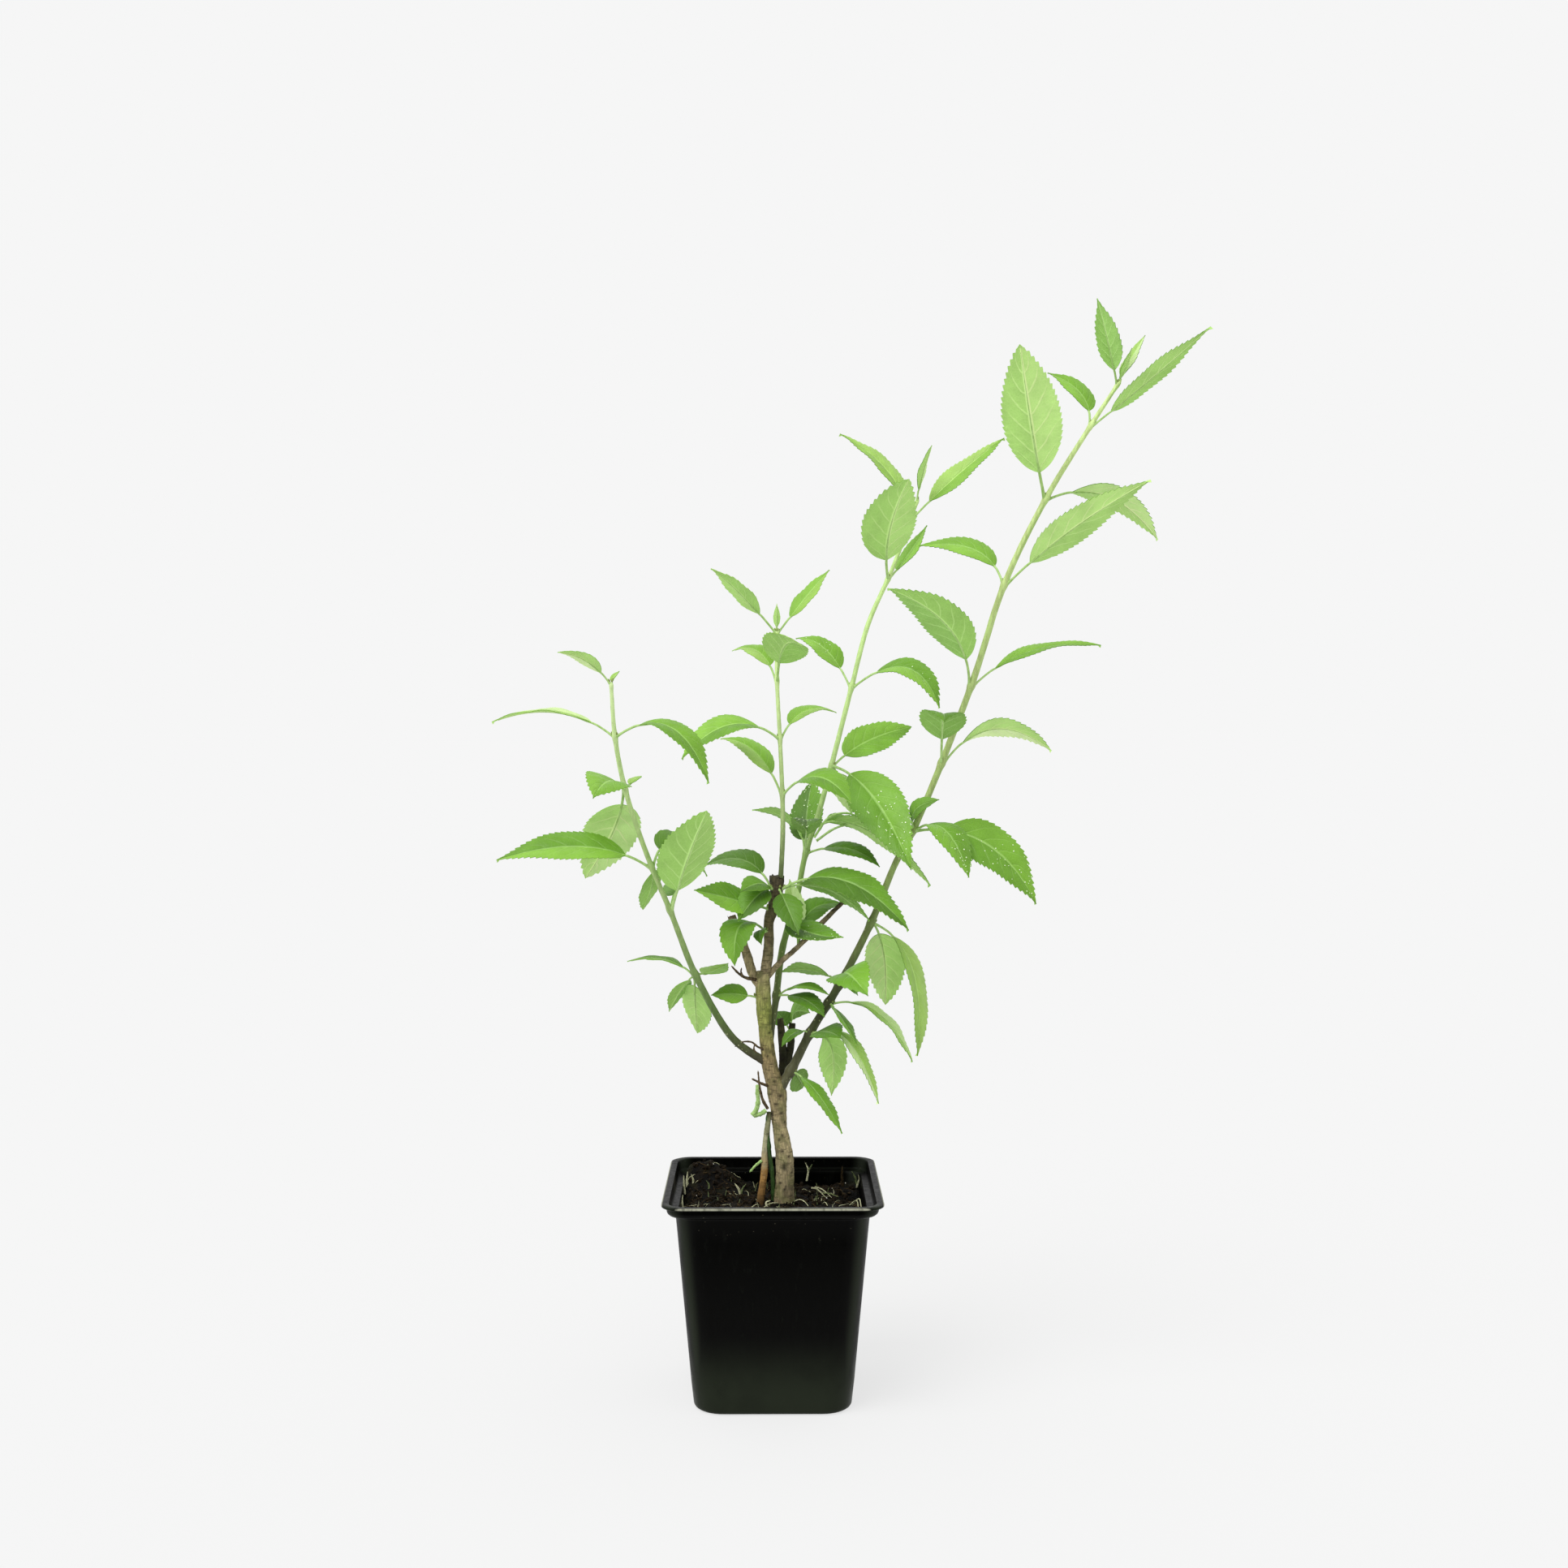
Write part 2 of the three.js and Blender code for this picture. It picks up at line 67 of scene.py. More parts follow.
# ---- Small tools -----------------------------------------------------------------------
def linear(hex_colour: str) -> Four:
    """Turns an sRGB hex colour into the linear colour a shader takes.

    Args:
        hex_colour: six hex digits after a hash.
    Returns:
        Red, green, blue and alpha, linear.
    """
    def channel(pair: str) -> float:
        """One channel, from sRGB to linear."""
        c = int(pair, 16) / 255
        return c / 12.92 if c <= 0.04045 else ((c + 0.055) / 1.055) ** 2.4
    return (*(channel(hex_colour[i:i + 2]) for i in (1, 3, 5)), 1.0)


def smooth(low: float, high: float, x: float) -> float:
    """Smooth step from 0 at low to 1 at high."""
    t = min(1.0, max(0.0, (x - low) / (high - low)))
    return t * t * (3 - 2 * t)


def bell(x: float, width: float) -> float:
    """A bell curve, 1 at 0."""
    return math.exp(-(x / width) ** 2)


def unique(items: Iterable) -> list:
    """The items in the order they come, each once."""
    return list(dict.fromkeys(items))


def lengths(points: list[Vector]) -> list[float]:
    """The length of the line through points, up to each of them."""
    return list(accumulate(((b - a).length for a, b in zip(points, points[1:])), initial=0.0))


def evenly(run: list[float], goals: Iterable[float]) -> list[tuple[int, float]]:
    """Finds lengths along a line.

    Args:
        run: the length up to each of the line's points.
        goals: the lengths to find, in rising order.
    Returns:
        For each, the step of the line it falls in and how far along that step it is, 0 to 1.
    """
    found, k = [], 0
    for goal in goals:
        while k < len(run) - 2 and run[k + 1] < goal:
            k += 1
        found.append((k, (goal - run[k]) / max(run[k + 1] - run[k], TINY)))
    return found


def add_node(tree: bpy.types.NodeTree, kind: str, feeds: dict | None = None, **settings) -> bpy.types.Node:
    """Adds one node with its settings and links.

    Args:
        tree: the node tree.
        kind: the node's type without its "ShaderNode" prefix.
        feeds: by input name or number, a value or the output socket that feeds it.
        settings: attributes of the node.
    Returns:
        The node.
    """
    made = tree.nodes.new("ShaderNode" + kind)
    for name, value in settings.items():
        setattr(made, name, value)
    for key, value in (feeds or {}).items():
        if isinstance(value, Socket):
            tree.links.new(value, made.inputs[key])
        else:
            made.inputs[key].default_value = value
    return made


class Shader:
    """A material being wired up: its tree, its Principled shader and the usual patterns."""

    def __init__(self, name: str, roughness: float, specular: float) -> None:
        """Makes the material.

        Args:
            name: the material's name.
            roughness: roughness where no pattern sets it.
            specular: the shader's specular level.
        """
        self.material = bpy.data.materials.new(name)
        self.material.use_nodes = True
        self.tree = self.material.node_tree
        self.surface = self.tree.nodes["Principled BSDF"]
        self.surface.inputs["Roughness"].default_value = roughness
        self.surface.inputs["Specular IOR Level"].default_value = specular
        self.place = self.node("TexCoord").outputs

    def node(self, kind: str, feeds: dict | None = None, **settings) -> bpy.types.Node:
        """Adds a node to this material."""
        return add_node(self.tree, kind, feeds, **settings)

    def math(self, operation: str, *values: Value) -> Socket:
        """A math node on one to three values."""
        return self.node("Math", dict(enumerate(values)), operation=operation).outputs[0]

    def product(self, a: Value, b: Value) -> Socket:
        """Two numbers multiplied."""
        return self.math("MULTIPLY", a, b)

    def ramp(self, value: Value, low: float, high: float, out_low: float = 0.0,
             out_high: float = 1.0) -> Socket:
        """A smooth step of a value between two levels."""
        return self.node("MapRange", {0: value, 1: low, 2: high, 3: out_low, 4: out_high},
                         interpolation_type="SMOOTHSTEP").outputs[0]

    def mix(self, share: Value, a: Value, b: Value) -> Socket:
        """A mix of two colours."""
        return self.node("Mix", {0: share, 6: a, 7: b}, data_type="RGBA").outputs[2]

    def stretched(self, scale: Point) -> Socket:
        """Object coordinates, stretched for a pattern that runs one way."""
        return self.node("Mapping", {0: self.place["Object"], 3: scale}).outputs[0]

    def speckle(self, size_mm: float, detail: float = 3.0, vector: Value | None = None,
                rough: float = 0.55) -> Socket:
        """Noise whose blotches are about size_mm across."""
        feeds = {"Vector": vector or self.place["Object"], "Scale": 1 / (size_mm * MM),
                 "Detail": detail, "Roughness": rough}
        return self.node("TexNoise", feeds).outputs["Fac"]

    def cells(self, size_mm: float, feature: str = "F1", vector: Value | None = None) -> Socket:
        """Distance pattern of cells about size_mm across."""
        feeds = {"Vector": vector or self.place["Object"], "Scale": 1 / (size_mm * MM)}
        return self.node("TexVoronoi", feeds, feature=feature).outputs["Distance"]

    def times(self, colour: Value, factor: float) -> Socket:
        """A colour made that much lighter or darker."""
        return self.node("Mix", {0: 1.0, 6: colour, 7: (factor, factor, factor, 1.0)}, data_type="RGBA",
                         blend_type="MULTIPLY").outputs[2]

    def by_height(self, stops: Stops, wander: Value = 0.0) -> Socket:
        """A colour that changes over the piece's height.

        Args:
            stops: heights over the floor, in millimetres, each with its colour.
            wander: a shift of the height, in metres, that breaks the bands up.
        Returns:
            The colour.
        """
        low, high = stops[0][0], stops[-1][0]
        z = self.node("SeparateXYZ", {0: self.place["Object"]}).outputs[2]
        feeds = {0: self.math("ADD", z, wander), 1: low * MM, 2: high * MM}
        ramp = self.node("ValToRGB", {0: self.node("MapRange", feeds).outputs[0]})
        elements = ramp.color_ramp.elements
        elements[0].color, elements[1].color = linear(stops[0][1]), linear(stops[-1][1])
        for at, colour in stops[1:-1]:
            elements.new((at - low) / (high - low)).color = linear(colour)
        return ramp.outputs[0]

    def attribute(self, name: str) -> Socket:
        """A number stored on the mesh."""
        return self.node("Attribute", attribute_name=name).outputs["Fac"]

    def finish(self, colour: Value, height: Value | None = None, depth_mm: float = 0.1,
               strength: float = 0.6, roughness: Value | None = None) -> Material:
        """Links colour, relief and roughness into the shader.

        Args:
            colour: base colour.
            height: relief, 0 to 1.
            depth_mm: what a height of 1 stands for.
            strength: strength of the bump.
            roughness: roughness, where a pattern sets it.
        Returns:
            The finished material.
        """
        self.tree.links.new(colour, self.surface.inputs["Base Color"])
        if roughness is not None:
            self.tree.links.new(roughness, self.surface.inputs["Roughness"])
        if height is not None:
            bump = self.node("Bump", {"Height": height, "Distance": depth_mm * MM, "Strength": strength})
            self.tree.links.new(bump.outputs["Normal"], self.surface.inputs["Normal"])
        return self.material


# ---- Curves and tubes ------------------------------------------------------------------
@dataclass
class Station:
    """One place along a path: its point and the frame carried to it."""
    at: Vector
    side: Vector
    over: Vector
    along: Vector


class Limb:
    """A limb's centre line through points of x, y, z and radius, foot first, in millimetres."""

    NUDGE = 1e-4               # how far apart t is read for a direction
    HALVINGS = 30              # of the search for a height
    FINE = 400                 # steps in which the length is measured

    def __init__(self, via: Iterable[Four]) -> None:
        """Keeps the points and their radii."""
        self.points = [Vector(p[:3]) for p in via]
        self.radii = [p[3] for p in via]

    def point(self, t: float) -> Vector:
        """The centripetal Catmull-Rom curve at t.

        Args:
            t: 0 at the foot to 1 at the tip, even over the points.
        Returns:
            The point, in millimetres.
        """
        p = self.points
        place = min(max(t, 0.0), 1.0) * (len(p) - 1)
        i = min(int(place), len(p) - 2)
        w = place - i
        before = p[i - 1] if i else 2 * p[0] - p[1]
        after = p[i + 2] if i + 2 < len(p) else 2 * p[-1] - p[-2]
        four = [before, p[i], p[i + 1], after]
        d0, d1, d2 = ((four[k + 1] - four[k]).length ** 0.5 for k in range(3))
        leave = (four[1] - four[0]) / d0 - (four[2] - four[0]) / (d0 + d1) + (four[2] - four[1]) / d1
        reach = (four[2] - four[1]) / d1 - (four[3] - four[1]) / (d1 + d2) + (four[3] - four[2]) / d2
        leave, reach = leave * d1, reach * d1
        c2 = 3 * (four[2] - four[1]) - 2 * leave - reach
        c3 = 2 * (four[1] - four[2]) + leave + reach
        return four[1] + leave * w + c2 * w * w + c3 * w ** 3

    def tangent(self, t: float) -> Vector:
        """Direction of growth at t."""
        return (self.point(t + self.NUDGE) - self.point(t - self.NUDGE)).normalized()

    def radius(self, t: float) -> float:
        """Radius at t, straight between the points."""
        place = min(max(t, 0.0), 0.9999) * (len(self.radii) - 1)
        i = int(place)
        return self.radii[i] + (self.radii[i + 1] - self.radii[i]) * (place - i)

    def at_height(self, z: float) -> float:
        """The t at which the limb reaches a height."""
        low, high = 0.0, 1.0
        for _ in range(self.HALVINGS):
            middle = (low + high) / 2
            low, high = (middle, high) if self.point(middle).z < z else (low, middle)
        return low

    def spread(self, step: float) -> list[float]:
        """Values of t that lie step apart, in millimetres, along the limb."""
        fine = [i / self.FINE for i in range(self.FINE + 1)]
        run = lengths([self.point(t) for t in fine])
        count = max(6, round(run[-1] / step))
        goals = (run[-1] * i / count for i in range(count + 1))
        return [min(fine[k] + share / self.FINE, 1.0) for k, share in evenly(run, goals)]


def stations(points: list[Vector], first_side: Vector | None = None) -> list[Station]:
    """Carries a frame along points without letting it twist.

    Args:
        points: the centre line.
        first_side: where the frame's side points at the start.
    Returns:
        One station for each point.
    """
    found: list[Station] = []
    side = first_side or Vector((1.0, 0.0, 0.0))
    for i, at in enumerate(points):
        along = (points[min(i + 1, len(points) - 1)] - points[max(i - 1, 0)]).normalized()
        side = side - along * side.dot(along)
        side = side.normalized() if side.length > 1e-4 else along.orthogonal().normalized()
        found.append(Station(at, side, along.cross(side), along))
    return found


def add_grid(bm: Mesh, across: int, rows: int) -> list[tuple[Vert, int, int]]:
    """Adds a flat grid to shape.

    Args:
        bm: the mesh being built.
        across: faces from side to side.
        rows: faces from end to end.
    Returns:
        Each vertex with its column and row.
    """
    made = bmesh.ops.create_grid(bm, x_segments=across, y_segments=rows, size=0.5, calc_uvs=True)
    return [(v, round((v.co.x + 0.5) * across), round((v.co.y + 0.5) * rows)) for v in made["verts"]]


def add_tube(bm: Mesh, path: list[Station], sides: int, radius: Callable[[int, float], float]) -> list[Vert]:
    """Rolls a grid into a closed tube along a path.

    Args:
        bm: the mesh being built.
        path: the stations its rings sit on.
        sides: faces round the tube.
        radius: by ring and angle, the radius in millimetres.
    Returns:
        The tube's vertices.
    """
    grid = add_grid(bm, sides, len(path) - 1)
    seam: dict[int, list[Vert]] = {}
    for v, column, row in grid:
        angle = 2 * math.pi * (column % sides) / sides
        s = path[row]
        r = radius(row, angle)
        v.co = s.at + s.side * (r * math.cos(angle)) + s.over * (r * math.sin(angle))
        if column in (0, sides):
            seam.setdefault(row, []).append(v)
    bmesh.ops.weld_verts(bm, targetmap={pair[1]: pair[0] for pair in seam.values()})
    verts = [v for v, _, _ in grid if v.is_valid]
    edges = unique(e for v in verts for e in v.link_edges)
    bmesh.ops.holes_fill(bm, edges=[e for e in edges if e.is_boundary], sides=0)
    return verts


def add_ball(bm: Mesh, steps: int, tone: float, shape: Callable[[Vector], Vector],
             radius: float = 1.0) -> None:
    """Adds a ball and shapes it.

    Args:
        bm: the mesh being built.
        steps: how finely it is divided.
        tone: its shade, 0 to 1.
        shape: moves a point of the ball to its place.
        radius: of the ball before it is shaped.
    """
    shade = bm.verts.layers.float["shade"]
    for v in bmesh.ops.create_icosphere(bm, subdivisions=steps, radius=radius)["verts"]:
        v.co = shape(v.co)
        v[shade] = tone


def mesh_from(name: str, bm: Mesh) -> bpy.types.Mesh:
    """Turns a bmesh into a mesh and frees it."""
    mesh = bpy.data.meshes.new(name)
    bm.to_mesh(mesh)
    bm.free()
    return mesh


def add_object(name: str, data: bpy.types.ID) -> bpy.types.Object:
    """Adds an object to the scene."""
    made = bpy.data.objects.new(name, data)
    bpy.context.scene.collection.objects.link(made)
    return made


def piece(name: str, bm: Mesh, materials: list[Material], replaces: Iterable[str] = ()) -> None:
    """Turns a finished bmesh into a piece that rides on the plant's body.

    Args:
        name: the piece's name.
        bm: the mesh, in millimetres, freed here.
        materials: its material slots.
        replaces: CAD nodes it stands for.
    """
    bmesh.ops.scale(bm, vec=(MM, MM, MM), verts=bm.verts)
    bm.normal_update()
    for f in bm.faces:
        f.smooth = True
    for e in bm.edges:
        e.smooth = e.calc_face_angle(0.0) < SHARP
    for i, f in enumerate(sorted(bm.faces, key=lambda f: f.calc_center_median()[:])):
        f.index = i
    bm.faces.sort()            # the operators leave new faces in an order that changes from run to run
    mesh = mesh_from(name, bm)
    for material in materials:
        mesh.materials.append(material)
    made = add_object(name, mesh)
    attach(made, BODY)
    if replaces:
        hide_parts(*replaces)
    mesh.calc_loop_triangles()
    log.info("%s: %d triangles", name, len(mesh.loop_triangles))


def new_mesh(*numbers: str) -> Mesh:
    """An empty bmesh with a UV map and named numbers on its vertices."""
    bm = bmesh.new()
    bm.loops.layers.uv.new("UVMap")
    for name in numbers:
        bm.verts.layers.float.new(name)
    return bm


# ---- Finishes --------------------------------------------------------------------------
def shaded(colour: str, factor: float) -> Four:
    """An sRGB hex colour, linear and made that much lighter or darker."""
    red, green, blue, alpha = linear(colour)
    return min(1.0, red * factor), min(1.0, green * factor), min(1.0, blue * factor), alpha


@dataclass(frozen=True)
class BladeFinish:
    """One face of a leaf: a waxy blade with pinnate veins.

    The upper face is smooth and a little glossy with sunk veins, the underside is matt and
    paler with raised ones. Veins follow the blade's own UV map, six on each side.
    """
    name: str
    blade: str
    roughness: float = 0.46
    specular: float = 0.3
    raised: bool = False
    vein_share: float = 0.45

    VEINS = 6.5
    SLOPE = 0.24
    NET_MM = 1.3

    def make(self) -> Material:
        """Wires the material."""
        sh = Shader(self.name, self.roughness, self.specular)
        uv = sh.node("SeparateXYZ", {0: sh.place["UV"]}).outputs
        out = sh.math("ABSOLUTE", sh.math("MULTIPLY_ADD", uv[0], 2.0, -1.0))
        wander = sh.math("MULTIPLY_ADD", sh.speckle(6, 1), 0.05, -0.025)
        reach = sh.product(sh.math("POWER", out, 1.25), self.SLOPE)
        along = sh.math("SUBTRACT", sh.math("ADD", uv[1], wander), reach)
        wave = sh.math("PINGPONG", sh.product(along, self.VEINS), 0.5)
        faded = sh.ramp(out, 0.5, 0.95, 1.0, 0.1)
        side_vein = sh.product(sh.ramp(wave, 0.02, 0.1, 1.0, 0.0), faded)
        midrib = sh.ramp(out, 0.03, 0.09, 1.0, 0.0)
        net = sh.ramp(sh.cells(self.NET_MM, "DISTANCE_TO_EDGE"), 0.0, 0.16, 1.0, 0.0)
        patch = sh.ramp(sh.speckle(9, 2), 0.35, 0.68)
        depth = sh.math("MULTIPLY_ADD", patch, 0.5, sh.product(sh.attribute("shade"), 0.5))
        body = sh.mix(depth, shaded(self.blade, 1.1), shaded(self.blade, 0.84))
        pale = sh.mix(0.3, shaded(self.blade, 1.75), linear("#E4EFC4"))
        share = sh.math("MAXIMUM", sh.product(midrib, min(1.0, self.vein_share + 0.3)),
                        sh.product(side_vein, self.vein_share))
        share = sh.math("MAXIMUM", share, sh.product(net, 0.25 * self.vein_share))
        body = sh.mix(share, body, pale)
        sign = 1.0 if self.raised else -1.0
        veins = sh.math("MAXIMUM", midrib, side_vein)
        relief = sh.math("MULTIPLY_ADD", veins, sign, sh.product(net, 0.25 * sign))
        relief = sh.math("MULTIPLY_ADD", sh.speckle(0.7, 2), 0.35, relief)
        gloss = sh.ramp(sh.speckle(3, 2), 0.3, 0.7, self.roughness - 0.06, self.roughness + 0.1)
        return sh.finish(body, relief, 0.22, 0.55, gloss)


@dataclass(frozen=True)
class ShootFinish:
    """Young bark: smooth and waxy, olive at the foot and pale green at the top, with pale lenticels.

    stops tell its colour by height and blush the colour of its sun side.
    """
    name: str
    stops: Stops
    blush: str = "#8A6A44"
    lenticel: str = "#B9BE8C"

    def make(self) -> Material:
        """Wires the material."""
        sh = Shader(self.name, 0.5, 0.3)
        grain = sh.speckle(1.2, 3, sh.stretched((1, 1, 0.22)))
        wander = sh.math("MULTIPLY_ADD", sh.speckle(4, 2), 0.012, -0.006)
        body = sh.by_height(self.stops, wander)
        body = sh.mix(sh.ramp(grain, 0.4, 0.62), sh.times(body, 1.06), sh.times(body, 0.88))
        share = sh.product(sh.attribute("blush"), sh.ramp(grain, 0.38, 0.58, 0.35, 1.0))
        body = sh.mix(share, body, linear(self.blush))
        spot = sh.ramp(sh.cells(1.5, "F1", sh.stretched((1, 1, 0.6))), 0.14, 0.24, 1.0, 0.0)
        spot = sh.product(spot, sh.ramp(sh.speckle(3.1, 1), 0.5, 0.56))
        body = sh.mix(sh.product(spot, 0.6), body, linear(self.lenticel))
        relief = sh.math("MULTIPLY_ADD", spot, 0.8, grain)
        return sh.finish(body, relief, 0.12, 0.6, sh.ramp(grain, 0.3, 0.7, 0.42, 0.62))


@dataclass(frozen=True)
class BarkFinish:
    """Grown bark: matt, fibrous along the limb, blotched, with dark rings and corky spots."""
    name: str
    stops: Stops
    moss: str = "#5F6B34"
    scar: str = "#17120B"
    moss_share: float = 0.3
    light: float = 1.75            # how much lighter the raised fibres are than the body
    dark: float = 0.42

    def make(self) -> Material:
        """Wires the material."""
        sh = Shader(self.name, 0.82, 0.22)
        fibre = sh.speckle(0.8, 4, sh.stretched((1, 1, 0.22)), 0.65)
        ring = sh.speckle(1.3, 3, sh.stretched((0.3, 0.3, 1.7)))
        wander = sh.math("MULTIPLY_ADD", sh.speckle(3, 3), 0.014, -0.007)
        base = sh.by_height(self.stops, wander)
        tint = sh.mix(sh.ramp(fibre, 0.4, 0.66), base, sh.times(base, self.light))
        for share, strength in ((sh.ramp(sh.speckle(4, 3), 0.5, 0.64), 0.6),
                                (sh.ramp(ring, 0.56, 0.64), 0.7)):
            tint = sh.mix(sh.product(share, strength), tint, sh.times(base, self.dark))
        tint = sh.mix(sh.product(sh.ramp(sh.speckle(7, 2), 0.5, 0.62), self.moss_share),
                      tint, linear(self.moss))
        pale = sh.ramp(sh.cells(1.0, "F1", sh.stretched((0.8, 0.8, 1.3))), 0.12, 0.24, 1.0, 0.0)
        pale = sh.product(pale, sh.ramp(sh.speckle(2.3, 1), 0.5, 0.56))
        tint = sh.mix(sh.product(pale, 0.6), tint, sh.times(base, 2.2))
        tint = sh.mix(sh.product(sh.attribute("scar"), 0.92), tint, linear(self.scar))
        relief = sh.math("MULTIPLY_ADD", fibre, 0.8, sh.product(ring, -0.4))
        relief = sh.math("MULTIPLY_ADD", pale, 0.35, relief)
        return sh.finish(tint, relief, 0.32, 0.9, sh.ramp(fibre, 0.3, 0.7, 0.72, 0.92))


@dataclass(frozen=True)
class PlainGrowth:
    """Small parts such as leaf stalks, buds, roots and crumbs: two tones mingled by fine noise."""
    name: str
    light: str
    dark: str
    grain_mm: float = 1.0
    roughness: float = 0.55
    specular: float = 0.3
    stretch: float = 1.0

    def make(self) -> Material:
        """Wires the material."""
        sh = Shader(self.name, self.roughness, self.specular)
        grain = sh.speckle(self.grain_mm, 3, sh.stretched((1, 1, self.stretch)))
        own = sh.product(sh.attribute("shade"), 0.4)
        share = sh.math("MULTIPLY_ADD", sh.ramp(grain, 0.38, 0.66), 0.6, own)
        tint = sh.mix(share, linear(self.light), linear(self.dark))
        rough = sh.ramp(grain, 0.3, 0.7, 0.85 * self.roughness, 1.15 * self.roughness)
        return sh.finish(tint, grain, self.grain_mm * 0.12, 0.6, rough)


@dataclass(frozen=True)
class PotFinish:
    """Black moulded polypropylene: a satin skin, greenish grey towards the foot and at the corners, a painted
    reflection of the pale floor.

    The flange's outer top edge carries a painted highlight, broken up by the scuffs.
    """
    name: str = "black_polypropylene_moulded"
    body: str = "#030302"
    # greenish grey of the painted floor reflection, which the scuffs share
    scuff_and_reflection: str = "#1F241A"
    painted_edge_highlight: str = "#A3A491"
    dust: str = "#6A6552"
    half: float = 44.3             # half of the flange's width, less the edge with the painted highlight, in millimetres
    edge: float = 87.0             # height over which the edge carries the painted highlight, in millimetres

    def make(self) -> Material:
        """Wires the material."""
        sh = Shader(self.name, 0.34, 0.06)
        x, y, z = sh.node("SeparateXYZ", {0: sh.place["Object"]}).outputs
        far = sh.math("MAXIMUM", sh.math("ABSOLUTE", x), sh.math("ABSOLUTE", y))
        near = sh.math("MINIMUM", sh.math("ABSOLUTE", x), sh.math("ABSOLUTE", y))
        scuff = sh.speckle(2.2, 4, sh.stretched((1, 1, 0.3)), 0.7)
        cloud = sh.speckle(14, 3)
        # painted reflection: the wall below 36 mm turns greenish grey, as where it would mirror the pale
        # floor
        low = sh.product(sh.ramp(z, 0.036, 0.006), sh.ramp(cloud, 0.3, 0.6, 0.8, 1.0))
        # painted reflection at the rounded corners, which would mirror the room at the sides
        squareness = sh.math("DIVIDE", near, sh.math("MAXIMUM", far, 0.001))
        corner = sh.product(sh.ramp(squareness, 0.82, 0.99), 0.85)
        corner = sh.product(corner, sh.ramp(far, 0.028, 0.031))
        share = sh.math("MAXIMUM", low, corner)
        # the scuffs are wear, and take the same grey as the painted reflection
        share = sh.math("MAXIMUM", share, sh.product(sh.ramp(scuff, 0.58, 0.75), 0.18))
        tint = sh.mix(share, linear(self.body), linear(self.scuff_and_reflection))
        speck = sh.product(sh.ramp(sh.cells(2.0), 0.06, 0.13, 1.0, 0.0), sh.ramp(z, 0.07, 0.08))
        speck = sh.product(speck, sh.ramp(sh.speckle(5, 1), 0.48, 0.58))
        tint = sh.mix(sh.product(speck, 0.4), tint, linear(self.dust))
        # painted highlight: the flange's outer top edge is turned pale, as where it would catch the light
        rim = sh.product(sh.ramp(far, self.half * MM, (self.half + 0.5) * MM),
                      sh.ramp(z, self.edge * MM, (self.edge + 0.3) * MM))
        rim = sh.product(rim, sh.ramp(scuff, 0.3, 0.55, 0.35, 0.8))
        tint = sh.mix(rim, tint, linear(self.painted_edge_highlight))
        rough = sh.ramp(scuff, 0.3, 0.75, 0.28, 0.48)
        relief = sh.math("MULTIPLY_ADD", sh.speckle(0.35, 2), 0.5, scuff)
        return sh.finish(tint, relief, 0.03, 0.35, rough)


@dataclass(frozen=True)
class CompostFinish:
    """Peat compost: dark, matt, with brown bark fines, algae and pale threads; darker in the hollows, which
    is painted shade, and smoother there, as if damp.
    """
    name: str = "peat_compost_damp"
    dark: str = "#050403"
    brown: str = "#221A0F"
    olive: str = "#23240F"
    straw: str = "#4E4730"

    def make(self) -> Material:
        """Wires the material."""
        sh = Shader(self.name, 0.85, 0.12)
        fine = sh.speckle(0.6, 5, None, 0.75)
        lump = sh.speckle(4.5, 3)
        tint = sh.mix(sh.ramp(lump, 0.45, 0.66), linear(self.dark), linear(self.brown))
        # the last of these darkens where the fine relief is low: painted shade in the hollows
        for share, strength, colour in ((sh.ramp(sh.speckle(9, 2), 0.52, 0.64), 0.6, self.olive),
                                        (sh.ramp(fine, 0.6, 0.74), 0.6, self.straw),
                                        (sh.ramp(fine, 0.54, 0.4), 0.92, self.dark)):
            tint = sh.mix(sh.product(share, strength), tint, linear(colour))
        relief = sh.math("MULTIPLY_ADD", sh.cells(1.1), 0.6, fine)
        return sh.finish(tint, relief, 0.7, 1.0, sh.ramp(fine, 0.3, 0.7, 0.6, 0.95))


def tone(name: str, upper: str, under: str) -> tuple[BladeFinish, BladeFinish]:
    """The finishes of a leaf's upper face, satin, and of its underside, matt with raised veins."""
    return (BladeFinish(f"leaf_upper_{name}", upper, 0.42, 0.25, False, 0.14),
            BladeFinish(f"leaf_under_{name}", under, 0.62, 0.18, True, 0.42))


class Tone(Enum):
    """How deep a leaf's green is, from the darkest on: the finishes of its two faces. The tones are partly
    the leaves' own green and partly painted light: the undersides are paler still, standing in for light
    shining through the blade.
    """
    DEEPEST = tone("deepest", "#3F5E18", "#769E48")
    DEEP = tone("deep", "#4D751D", "#82AE52")
    DARK = tone("dark", "#588323", "#8EBC5C")
    DUSKY = tone("dusky", "#639227", "#9AC869")
    MID = tone("mid", "#70A02F", "#9ECC68")
    FRESH = tone("fresh", "#7DAD3A", "#A8D373")
    BRIGHT = tone("bright", "#8BB54A", "#B0DA7B")
    YOUNG = tone("young", "#99BF5C", "#B8E182")
    PALE = tone("pale", "#A6C672", "#CAED98")
    PALEST = tone("palest", "#BDD890", "#DCF5AE")


def lit_and_shaded_halves(chosen: Tone, rng: random.Random) -> tuple[Tone, Tone]:
    """The tones of a blade's two sides: the leaf's own, and one a step darker or up to two lighter, painted
    light and shade for one side of the folded blade catching more light than the other.

    Args:
        chosen: the leaf's tone.
        rng: draws the step and the half that takes it.
    Returns:
        Left and right.
    """
    ladder = list(Tone)
    # painted light and shade: one side of the blade is made a step darker or up to two lighter
    step = rng.choice((-1, 1, 2))
    other = ladder[min(max(ladder.index(chosen) + step, 0), len(ladder) - 1)]
    return (chosen, other) if rng.random() < 0.5 else (other, chosen)


